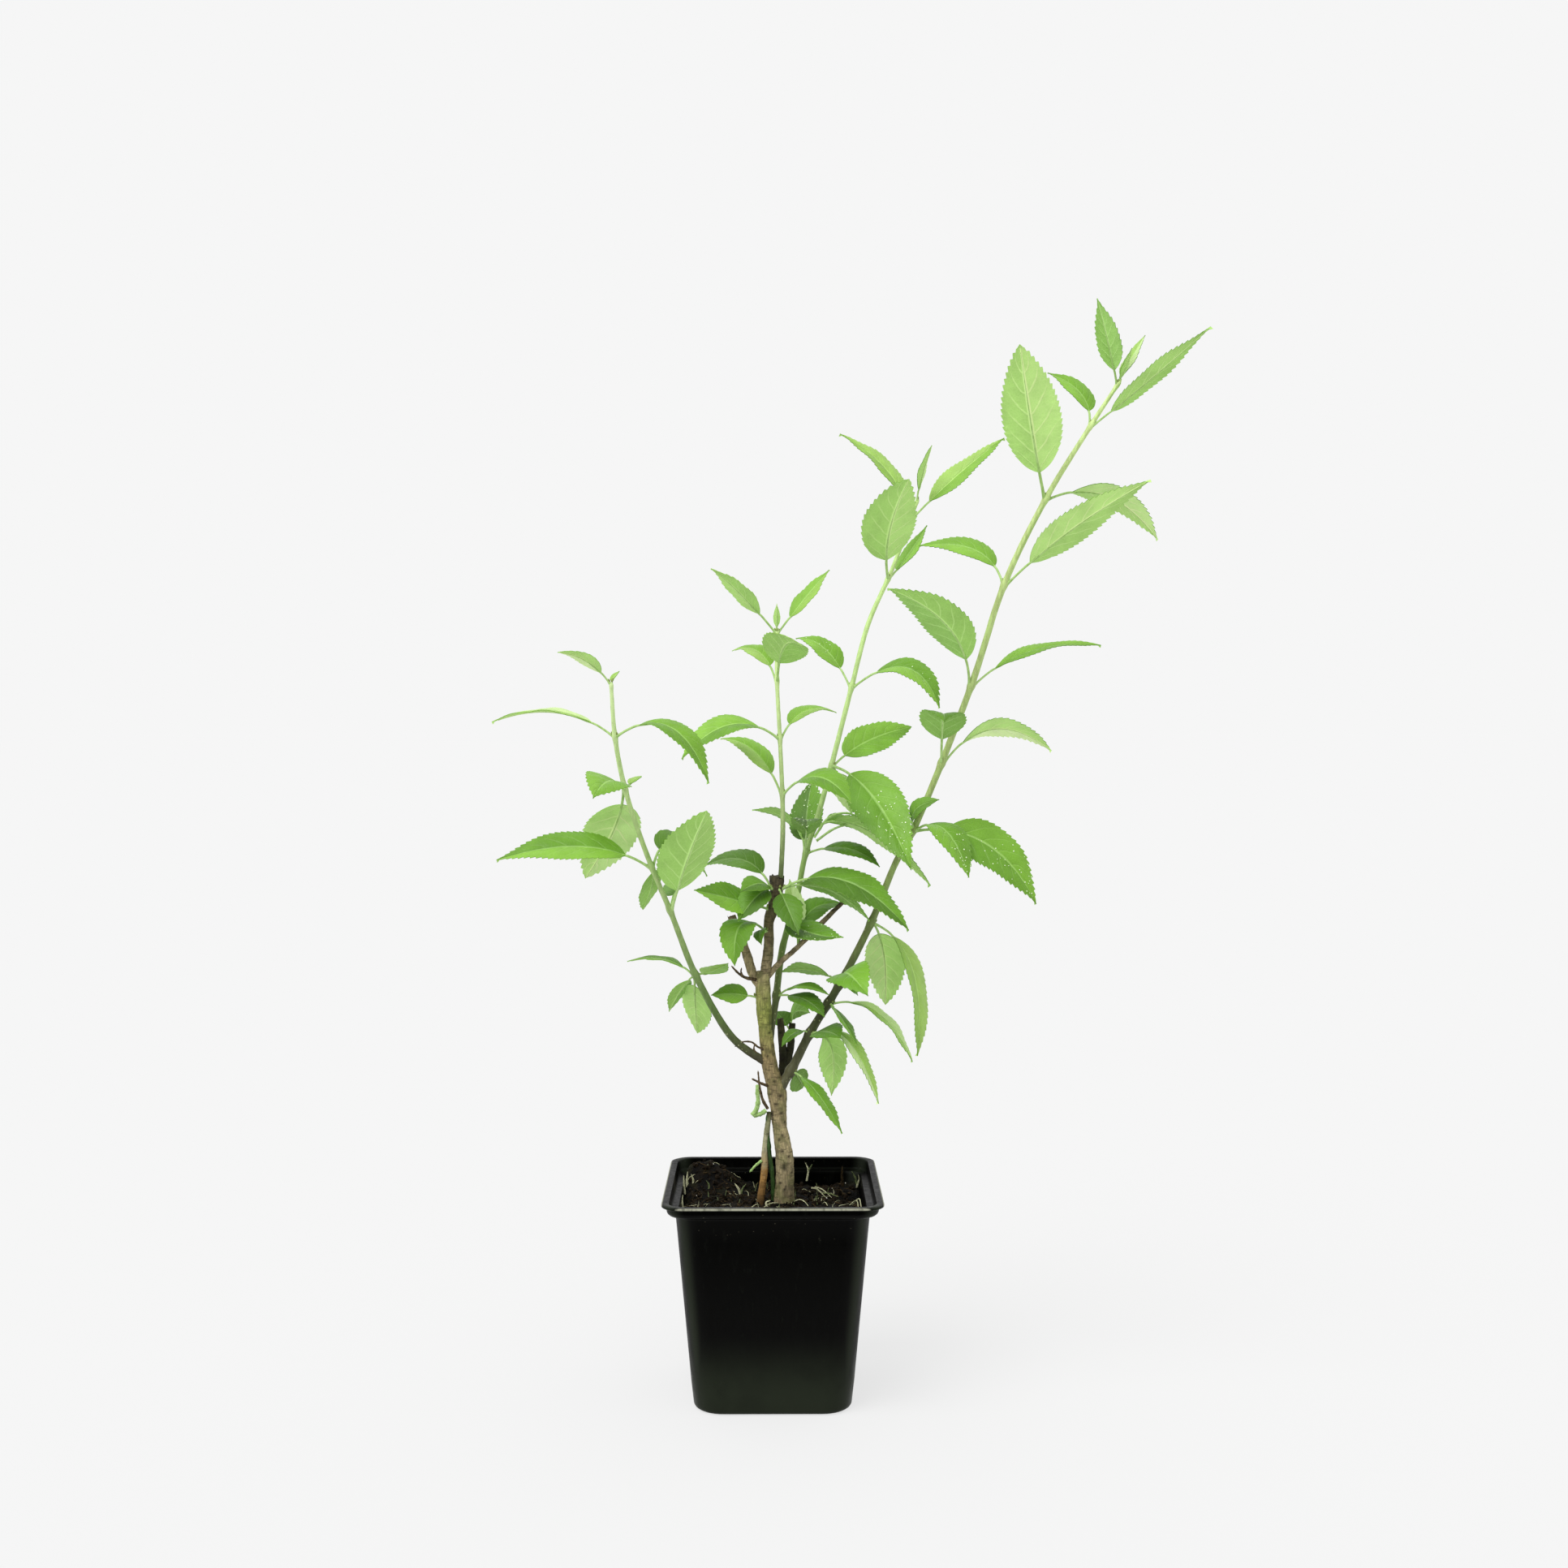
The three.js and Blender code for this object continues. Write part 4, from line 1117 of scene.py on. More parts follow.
@dataclass
class LeafMaker:
    """Shapes toothed, veined leaves out of grids."""
    rng: random.Random
    thickness: float = 0.26
    tooth_step: float = 2.4
    tooth_depth: float = 0.8
    tooth: Four = (0.0, 0.3, 0.72, 1.0)      # how far out a tooth stands, row by row
    toothed: tuple[float, float] = (0.12, 0.97)      # where the margin has teeth, 0 to 1
    columns: tuple[float, ...] = (0.0, 0.07, 0.2, 0.37, 0.55, 0.73, 0.89, 1.0)
    steps: int = 64
    vein_depth: float = 0.18       # relief of a full-sized blade, in millimetres
    rib_depth: float = 0.3
    puff_height: float = 0.3       # of the blade between two veins
    full_length: float = 42.0      # a blade this long has the full relief
    waves: tuple[float, float] = (0.2, 0.5)          # height of the margin's waves
    beats: tuple[float, float] = (1.4, 2.6)          # and how many there are
    folds: tuple[float, float] = (0.92, 1.08)        # of the leaf's own lift
    curls: tuple[float, float] = (0.09, 0.15)        # how far the margins turn down
    stalk_radius: float = 0.45     # on a leaf of full_width
    full_width: float = 17.0
    stalk_rings: int = 36
    stalk_sides: int = 7
    bead_radii: tuple[float, float] = (0.16, 0.36)
    stalk_share: float = 0.2       # how much of the arch is stalk
    reference: float = 0.45        # where on the blade the roll is measured

    def line(self, node: Station, radius: float, leaf: Leaf) -> tuple[list[Vector], float]:
        """The midrib's line, one arch from the stem's surface to the tip.

        Args:
            node: where the leaf grows from.
            radius: of the stem there.
            leaf: the leaf.
        Returns:
            Evenly spaced points and the place among them where the stalk ends, 0 to 1.
        """
        reach = Vector(leaf.tip)
        out = reach - node.along * reach.dot(node.along)
        foot = node.at + out.normalized() * (0.8 * radius)
        tip = node.at + reach
        crest = (foot + tip) / 2 + Vector((2 * leaf.bow[0], 0, 2 * leaf.bow[1]))
        ts = [i / self.steps for i in range(self.steps + 1)]
        raw = [foot * (1 - t) ** 2 + crest * (2 * t * (1 - t)) + tip * t * t for t in ts]
        run = lengths(raw)
        places = evenly(run, (run[-1] * t for t in ts))
        points = [raw[k].lerp(raw[k + 1], share) for k, share in places]
        return points, run[round(self.stalk_share * self.steps)] / run[-1]

    def course(self, node: Station, radius: float, leaf: Leaf) -> Course:
        """The leaf's line with frames, whose over points out of the upper face.

        Args:
            node: where the leaf grows from.
            radius: of the stem there.
            leaf: the leaf.
        Returns:
            The course.
        """
        points, start = self.line(node, radius, leaf)
        last = len(points) - 1
        alongs = [(points[min(i + 1, last)] - points[max(i - 1, 0)]).normalized() for i in range(last + 1)]
        middle = round((start + (1 - start) * self.reference) * last)
        side = alongs[middle].cross(UP)
        if side.length < 0.15:
            side = alongs[middle].cross(BACK)
        side.normalize()
        face = side.cross(alongs[middle])
        angle = math.radians(leaf.roll)
        side = side * math.cos(angle) + face * math.sin(angle)
        sides: list[Vector] = [side] * (last + 1)
        for order in (range(middle, last + 1), range(middle, -1, -1)):
            carried = side
            for i in order:
                carried = (carried - alongs[i] * carried.dot(alongs[i])).normalized()
                sides[i] = carried
        return Course([Station(p, s, s.cross(d), d) for p, s, d in zip(points, sides, alongs)], start)

    def half_width(self, leaf: Leaf, v: float) -> float:
        """Half width of the blade at v, 0 at its base to 1 at its point."""
        rise, fall = leaf.form.value
        peak = rise / (rise + fall)
        body = (v / peak) ** rise * ((1 - v) / (1 - peak)) ** fall
        return max(body * leaf.width / 2, 0.4 * (1 - v), 0.1)

    def blade(self, bm: Mesh, course: Course, leaf: Leaf,
              slots: tuple[tuple[int, int], ...]) -> list[tuple[Vector, Vector]]:
        """Adds one blade as a thin closed sheet.

        Args:
            bm: the mesh being built.
            course: the leaf's line.
            leaf: the leaf.
            slots: for the left and the right half, the slots of upper face and underside.
        Returns:
            Places on its upper face, each with its normal.
        """
        rng = self.rng
        line = course.stations
        length = sum((b.at - a.at).length for a, b in zip(line, line[1:])) * (1 - course.start)
        teeth = max(3, round(length * 0.8 / self.tooth_step))
        rows = max(14, round(teeth * 4 / 0.8))
        across = 2 * (len(self.columns) - 1)
        size = min(1.0, length / self.full_length)
        wave = rng.uniform(*self.waves) * size
        beats, phase_a, phase_b = rng.uniform(*self.beats), rng.uniform(0, 6.3), rng.uniform(0, 6.3)
        fold = math.atan(leaf.lift * rng.uniform(*self.folds))
        curl = rng.uniform(*self.curls)
        tone = rng.uniform(0.2, 0.6)
        shade = bm.verts.layers.float["shade"]
        uv_layer = bm.loops.layers.uv.active
        grid = add_grid(bm, across, rows)
        spots = {}
        for vert, column, row in grid:
            k = column - across // 2
            a = self.columns[abs(k)]
            sign = 1 if k >= 0 else -1
            v = row / rows
            s = course.on_blade(v)
            half = self.half_width(leaf, v)
            ends = math.sin(math.pi * min(1.0, v * 1.02)) ** 0.5 if v < 1 else 0.0
            phase = phase_a if sign > 0 else phase_b
            ripple = wave * a ** 1.8 * ends * math.sin(2 * math.pi * beats * v + phase)
            beat = (v - BladeFinish.SLOPE * a ** 1.25) * BladeFinish.VEINS
            vein = smooth(0.16, 0.0, abs((beat + 0.5) % 1 - 0.5)) * (1 - 0.7 * a) * min(1.0, a * 8)
            sunk = self.vein_depth * size * vein + self.rib_depth * size * bell(a, 0.1) * ends
            puff = self.puff_height * size * math.sin(math.pi * (beat % 1)) * (a * (1 - a)) * 4 * ends
            height = half * (a * math.sin(fold) - curl * a * a) + ripple - sunk + puff
            spread = half * a * math.cos(fold)
            along = s.at
            if self.toothed[0] < v < self.toothed[1] and a > 0.8:
                room = min(1.0, half / 3) * size * (1.0 if a == 1 else 0.3)
                cut = self.tooth[row % 4] * self.tooth_depth * room
                spread += cut - 0.2 * room
                along = s.at + s.along * cut * 0.7
            vert.co = along + s.side * (sign * spread) + s.over * height
            vert[shade] = tone + 0.3 * noise.noise(vert.co * 0.12)
            spots[vert] = (0.5 + sign * a / 2, v)
        faces = unique(f for vert, _, _ in grid for f in vert.link_faces)
        for f in faces:
            for loop in f.loops:
                loop[uv_layer].uv = spots[loop.vert]
        bm.normal_update()
        new = bmesh.ops.solidify(bm, geom=faces, thickness=self.thickness)
        back = {f for f in new["geom"] if isinstance(f, Face)}
        for f in (*(f for f in faces if f.is_valid), *back):
            right = sum(loop[uv_layer].uv.x for loop in f.loops) / len(f.loops) > 0.5
            f.material_index = slots[right][f in back]
        return [(v.co.copy(), v.normal.copy()) for v, column, row in grid
                if row > 0.3 * rows and 0 < column < across and row < 0.95 * rows]

    def bead(self, bm: Mesh, at: Vector, normal: Vector) -> None:
        """Adds a flat bead of water on a blade."""
        size = self.rng.uniform(*self.bead_radii)
        turn = normal.to_track_quat("Z", "Y")
        seat = at + normal * (0.3 * size)
        add_ball(bm, 1, 0.5, lambda p: seat + turn @ Vector((p.x, p.y, p.z * 0.6)), size)

    def stalk(self, bm: Mesh, course: Course, leaf: Leaf) -> None:
        """Adds the stalk and the rib it runs on as, under the blade.

        Args:
            bm: the mesh being built.
            course: the leaf's line.
            leaf: the leaf.
        """
        thick = self.stalk_radius * math.sqrt(max(leaf.width, 5) / self.full_width)
        ts = [i / self.stalk_rings * 0.95 for i in range(self.stalk_rings + 1)]
        start = course.start

        def size(t: float) -> float:
            """Radius of the stalk or rib."""
            base = thick * (1 + 0.5 * bell(t, 0.03))
            beyond = max(0.0, (t - start) / (1 - start))
            return base * (1 - beyond) ** 1.2 * (0.8 if beyond else 1.0) + 0.06

        centre = []
        for t in ts:
            s = course.sample(t)
            under = smooth(start - 0.04, start + 0.05, t) * (self.thickness + 0.2 + 0.25 * size(t))
            centre.append(s.at - s.over * under)
        shade = bm.verts.layers.float["shade"]
        tone = self.rng.uniform(0.1, 0.8)
        rings = stations(centre, course.stations[0].side)
        for v in add_tube(bm, rings, self.stalk_sides, lambda row, angle: size(ts[row])):
            v[shade] = tone


@dataclass
class Shoot:
    """One green shoot with its leaves, stalks and buds."""
    name: str
    palette: Palette
    maker: LeafMaker
    sides: int = 22
    ring_step: float = 0.9
    joint_swell: float = 0.34      # how much thicker a joint is
    joint_half: float = 1.9        # and how far it reaches, in millimetres
    edge_height: float = 0.035     # shares of the radius
    lump_height: float = 0.07
    foot_swell: float = 0.35
    blush: float = 0.0
    blush_side: float = 200.0      # where round the shoot the rusty side is, in degrees

    def heights(self) -> list[float]:
        """Heights of the nodes on this limb."""
        return sorted({s.height for s in SPROUTS.values() if s.limb == self.name})

    def build_stem(self) -> None:
        """Builds the shoot's own bark with its joints."""
        bm = new_mesh("blush")
        limb = LIMBS[self.name]
        ts = limb.spread(self.ring_step)
        path = stations([limb.point(t) for t in ts])
        nodes = self.heights()
        blush = bm.verts.layers.float["blush"]

        def radius(row: int, angle: float) -> float:
            """Radius with joints, the four blunt edges and small lumps."""
            s = path[row]
            r = limb.radius(ts[row])
            steep = max(s.along.z, 0.3)
            joint = max((bell((s.at.z - z) / steep, self.joint_half) for z in nodes), default=0.0)
            edge = self.edge_height * math.cos(4 * angle)
            lump = self.lump_height * noise.noise(Vector((math.cos(angle), math.sin(angle), ts[row] * 55)))
            end = math.sqrt(max(0.03, 1 - smooth(0.992, 1.0, ts[row])))
            foot = self.foot_swell * bell(ts[row], 0.03)
            return r * (1 + self.joint_swell * joint + edge + lump + foot) * end

        for v in add_tube(bm, path, self.sides, radius):
            near = min(range(len(path)), key=lambda i: (path[i].at - v.co).length_squared)
            t = ts[near]
            out = v.co - path[near].at
            turn = math.degrees(math.atan2(out.y, out.x)) - self.blush_side
            facing = 0.5 + 0.5 * math.cos(math.radians(turn))
            v[blush] = self.blush * facing ** 1.5 * smooth(0.1, 0.4, t) * (1 - 0.6 * smooth(0.75, 1.0, t))
        piece(f"{self.name}_bark", bm, [self.palette.get(self.name)], (self.name,))

    def build_leaves(self) -> None:
        """Builds the blades, then the stalks and buds, each kind as one piece."""
        own = {k: s for k, s in SPROUTS.items() if s.limb == self.name}
        build_foliage(self.name, own, self.palette, self.maker)


def node_of(sprout: Sprout) -> tuple[Station, float]:
    """The station and stem radius a sprout grows from."""
    limb = LIMBS[sprout.limb]
    t = limb.at_height(sprout.height)
    return Station(limb.point(t), UP, UP, limb.tangent(t)), limb.radius(t)


def build_foliage(name: str, sprouts: dict[str, Sprout], palette: Palette, maker: LeafMaker) -> None:
    """Builds the leaves of some nodes as a piece of blades and a piece of stalks and buds.

    Args:
        name: what the pieces are named for.
        sprouts: the nodes, by the name of the leaf mass each replaces.
        palette: the materials.
        maker: shapes the leaves.
    """
    blades, stalks, buds, beads = (new_mesh("shade") for _ in range(4))
    slots: list[BladeFinish] = []
    for sprout in sprouts.values():
        node, radius = node_of(sprout)
        for leaf in sprout.leaves:
            tones = [half.value for half in lit_and_shaded_halves(leaf.tone, maker.rng)]
            for finish in (f for pair in tones for f in pair if f not in slots):
                slots.append(finish)
            course = maker.course(node, radius, leaf)
            numbers = tuple(tuple(slots.index(f) for f in pair) for pair in tones)
            places = maker.blade(blades, course, leaf, numbers)
            for at, normal in maker.rng.sample(places, min(leaf.drops, len(places))):
                maker.bead(beads, at, normal)
            maker.stalk(stalks, course, leaf)
            add_bud(buds, node, radius, Vector(leaf.tip), maker.rng)
    masses = tuple(f"leaves_{key}" for key in sprouts)
    piece(f"{name}_blades", blades, [palette.get(f) for f in slots], masses)
    piece(f"{name}_stalks", stalks, [palette.get("stalk")])
    piece(f"{name}_buds", buds, [palette.get("bud")])
    if beads.verts:
        piece(f"{name}_drops", beads, [palette.get("drop")])


BUD_LENGTH, BUD_HALF = (1.3, 2.0), (0.45, 0.65)     # in millimetres


def add_bud(bm: Mesh, node: Station, radius: float, towards: Vector, rng: random.Random) -> None:
    """Adds a small pointed bud in a leaf's axil.

    Args:
        bm: the mesh being built.
        node: where the leaf grows from.
        radius: of the stem.
        towards: the leaf's direction.
        rng: draws the bud's size.
    """
    out = (towards - node.along * towards.dot(node.along)).normalized()
    length, wide = rng.uniform(*BUD_LENGTH), rng.uniform(*BUD_HALF)
    axis = (node.along + out * 0.45).normalized()
    centre = node.at + out * (radius * 1.1) + node.along * 1.3
    turn = axis.to_track_quat("Z", "Y")

    def shape(p: Vector) -> Vector:
        """A point of the bud: narrower towards its tip, with four blunt edges."""
        tip = (p.z + 1) / 2
        narrow = (1 - tip ** 2 * 0.75) * wide * (1 + 0.12 * math.cos(4 * math.atan2(p.y, p.x)))
        return centre + turn @ Vector((p.x * narrow, p.y * narrow, p.z * length * 0.5))

    add_ball(bm, 2, rng.random(), shape)


# ---- Pot -------------------------------------------------------------------------------
@dataclass
class NurseryPot:
    """The square pot: drafted walls, a skirt and a thin flange round the rim, drain holes."""
    palette: Palette
    height: float = 88.0
    rim: float = 90.0
    skirt: float = 86.0
    shoulder: float = 79.0
    foot: float = 65.4
    wall: float = 1.2
    floor: float = 2.0
    flange: float = 1.3
    skirt_depth: float = 5.6
    fillet: float = 2.2
    corner_top: float = 9.0
    corner_foot: float = 12.5
    corner_steps: int = 10
    drain_radius: float = 3.2
    drain_spread: float = 20.0

    def across(self, z: float) -> float:
        """Width of the wall, outside, at a height."""
        return self.foot + (self.shoulder - self.foot) * z / (self.height - self.skirt_depth)

    def corner(self, z: float) -> float:
        """Corner radius of the wall at a height."""
        return self.corner_foot + (self.corner_top - self.corner_foot) * min(1.0, z / self.height)

    def levels(self) -> list[tuple[float, float, float]]:
        """Height, width and corner radius from the underside, over the rim and down inside."""
        top, shoulder = self.height, self.height - self.skirt_depth
        rows = []
        for i in range(5):
            a = math.pi / 2 * i / 4
            pull = self.fillet * (1 - math.sin(a))
            rows.append((self.fillet * (1 - math.cos(a)), self.across(0) - 2 * pull, self.corner_foot - pull))
        rows += [(z, self.across(z), self.corner(z)) for z in (12, 24, 36, 48, 60, 72, shoulder - 0.9)]
        under, skirt, rim, wall = top - self.flange, self.skirt, self.rim, self.shoulder
        outside = ((shoulder - 0.3, wall + 0.25), (shoulder, wall + 1.0), (shoulder + 0.2, skirt - 3.6),
                   (shoulder + 0.6, skirt - 1.9), (shoulder + 1.2, skirt - 0.8),
                   (shoulder + 2.0, skirt - 0.2), (shoulder + 2.8, skirt), (under - 0.25, skirt),
                   (under, skirt + 0.5), (under, rim - 0.7), (under + 0.2, rim - 0.15),
                   (under + 0.5, rim), (top - 0.5, rim), (top - 0.15, rim - 0.25), (top, rim - 0.8))
        inside = ((top, skirt - 1.2), (top - 0.25, skirt - 2), (top - 0.8, skirt - 2.4),
                  (shoulder + 1.9, skirt - 2.5), (shoulder + 1.1, skirt - 3.2), (shoulder + 0.7, skirt - 4.4),
                  (shoulder + 0.6, wall - 1.6), (shoulder + 0.2, wall - 2.2))
        rows += [(*place, self.corner_top) for place in outside]
        rows += [(*place, self.corner_top - 2) for place in inside]
        for z in (shoulder - 1, 60, 36, 12, 5):
            rows.append((z, self.across(z) - 2 * self.wall, self.corner(z) - self.wall))
        rows.append((self.floor + 0.8, self.across(3) - 2 * self.wall - 1.6, 9.5))
        rows.append((self.floor, self.foot - 8, 8.5))
        return rows

    def outline(self, across: float, corner: float) -> list[tuple[float, float]]:
        """A rounded square, as points anticlockwise from the right-hand side."""
        half = across / 2 - corner
        found = []
        for quarter, (sx, sy) in enumerate(((1, 1), (-1, 1), (-1, -1), (1, -1))):
            for i in range(self.corner_steps + 1):
                a = math.pi / 2 * (quarter + i / self.corner_steps)
                found.append((sx * half + corner * math.cos(a), sy * half + corner * math.sin(a)))
        return found

    def build(self) -> None:
        """Builds the pot by drawing a ring up, over the rim and down inside."""
        bm = new_mesh()
        rows = self.levels()
        count = 4 * (self.corner_steps + 1)
        ring = bmesh.ops.create_circle(bm, segments=count, radius=1.0)["verts"]
        for v, (x, y) in zip(ring, self.outline(*rows[0][1:])):
            v.co = Vector((x, y, rows[0][0]))
        bmesh.ops.contextual_create(bm, geom=ring)
        edges = unique(e for v in ring for e in v.link_edges)
        for z, across, corner in rows[1:]:
            order = {tuple(round(c, 4) for c in v.co): i for i, v in enumerate(ring)}
            made = bmesh.ops.extrude_edge_only(bm, edges=edges)["geom"]
            fresh = [g for g in made if isinstance(g, Vert)]
            edges = [g for g in made if isinstance(g, Edge)]
            shape = self.outline(across, corner)
            ring = [None] * count
            for v in fresh:
                i = order[tuple(round(c, 4) for c in v.co)]
                ring[i] = v
                v.co = Vector((*shape[i], z))
        bmesh.ops.contextual_create(bm, geom=ring)
        bmesh.ops.recalc_face_normals(bm, faces=bm.faces)
        drains = bmesh.new()
        for x in (-self.drain_spread, self.drain_spread):
            for y in (-self.drain_spread, self.drain_spread):
                bmesh.ops.create_cone(drains, cap_ends=True, segments=20, radius1=self.drain_radius,
                                      radius2=self.drain_radius, depth=4 * self.floor,
                                      matrix=Matrix.Translation((x, y, 0.4)))
        piece("nursery_pot", cut_with(bm, drains), [self.palette.get(PotFinish())], ("pot",))


def cut_with(body: Mesh, cutter: Mesh) -> Mesh:
    """Takes one closed mesh out of another.

    Args:
        body: what is cut, freed here.
        cutter: what is taken out, freed here.
    Returns:
        The cut mesh.
    """
    objects = [add_object("cutting", mesh_from("cutting", bm)) for bm in (body, cutter)]
    modifier = objects[0].modifiers.new("cut", "BOOLEAN")
    modifier.object, modifier.operation, modifier.solver = objects[1], "DIFFERENCE", "EXACT"
    evaluated = objects[0].evaluated_get(bpy.context.evaluated_depsgraph_get())
    found = bmesh.new()
    found.from_mesh(evaluated.to_mesh())
    evaluated.to_mesh_clear()
    for o in objects:
        mesh = o.data
        bpy.data.objects.remove(o)
        bpy.data.meshes.remove(mesh)
    return found


# ---- Compost ---------------------------------------------------------------------------
@dataclass(frozen=True)
class Growth:
    """A pale sprout, rootlet or stick on the compost: its line, its thickness and its finish."""
    via: tuple[Point, ...]
    thick: float
    finish: str = "root"


GROWTHS = (
    Growth(((7.8, -6, 80), (11.1, -9, 82.5), (13.4, -12, 82.2), (15.4, -15, 80.3)), 0.28),
    Growth(((33, -14, 81.4), (35.5, -18, 85.1), (36, -24, 84.6), (36.4, -26, 81.5)), 0.28),
    Growth(((32, -14, 81.4), (34.5, -17, 84.1), (35, -24, 83.2), (35.2, -27, 80.2)), 0.28),
    Growth(((2, -7, 80.5), (-1, -12, 81.6), (-4, -17, 81), (-6, -22, 80)), 0.28),
    Growth(((-36.8, 21, 78.5), (-37.3, 21, 83), (-36.9, 20.5, 87)), 0.75),
    Growth(((-35, 21, 78.5), (-34.5, 21, 83), (-35.4, 20.5, 86)), 0.6),
    Growth(((-28, 16, 78.5), (-27.5, 15.5, 82.5), (-28.6, 15, 84.5)), 0.5, "moss"),
    Growth(((-13.6, 9, 78.5), (-14.4, 9, 82), (-16.3, 9, 84.8)), 0.7),
    Growth(((-13.6, 9, 79), (-13, 9, 82.5), (-11.4, 9, 84.6)), 0.5, "moss"),
    Growth(((-37.9, 14, 79), (-38.2, 14, 83), (-38.3, 14, 87)), 0.55),
    Growth(((-37.4, -11, 78.5), (-37.7, -11, 82), (-37.5, -11, 85)), 0.45),
    Growth(((30.6, 29.7, 78), (30.3, 29.5, 83), (30.5, 29.4, 87.4)), 0.75, "chip"),
    Growth(((15, 37, 79), (15.6, 37, 84), (14.4, 37, 87)), 0.5),
    Growth(((15.4, 37, 83), (17, 37, 85.5), (17.6, 37, 86.5)), 0.4, "moss"),
    Growth(((16.9, 21, 79.8), (19, 14, 81), (22.6, 2, 80.4)), 0.4),
    Growth(((18.4, 22, 80), (21.4, 12, 81.3), (25, 3, 80.2)), 0.32),
    Growth(((21, 9, 80.4), (24, 6, 81.2), (28, 3, 80.4)), 0.3, "moss"),
    Growth(((37, 26, 78.5), (36, 26, 83), (34.5, 25, 86)), 0.6, "moss"),
    Growth(((36.6, 25, 79), (37.6, 24, 83), (37.2, 23, 85)), 0.45),
    Growth(((-2, -11.3, 79), (-2.8, -11, 81.8), (-1, -11, 82.6)), 0.5),
)


@dataclass(frozen=True)
class Lumps:
    """One kind of broken lump strewn on the peat.

    count tells how many, radii the smallest and the largest, flat a lump's height per width.
    """
    name: str
    finish: str
    count: int
    radii: tuple[float, float]
    flat: float


@dataclass(frozen=True)
class Threads:
    """One kind of fine thread strewn on the peat.

    One in so many, every, is a rootlet instead. stand is 0 for a lying thread and 1 for an
    upright one, and both pairs give the least and the most, in millimetres.
    """
    finish: str
    count: int
    every: int
    stand: float
    lengths: tuple[float, float]
    thicknesses: tuple[float, float]


LUMPS = (Lumps("peat_crumbs", "crumb", 1000, (0.25, 1.15), 1.0),
         Lumps("bark_fines", "chip", 200, (0.4, 1.2), 0.35),
         Lumps("perlite_grains", "grain", 26, (0.2, 0.5), 0.9))
THREADS = (Threads("chip", 230, 5, 0.0, (3, 11), (0.1, 0.24)),
           Threads("moss", 30, 3, 1.0, (2, 5), (0.16, 0.34)))
THREAD_PIECES = {"root": "pale_rootlets", "chip": "peat_threads", "moss": "moss_sprigs"}


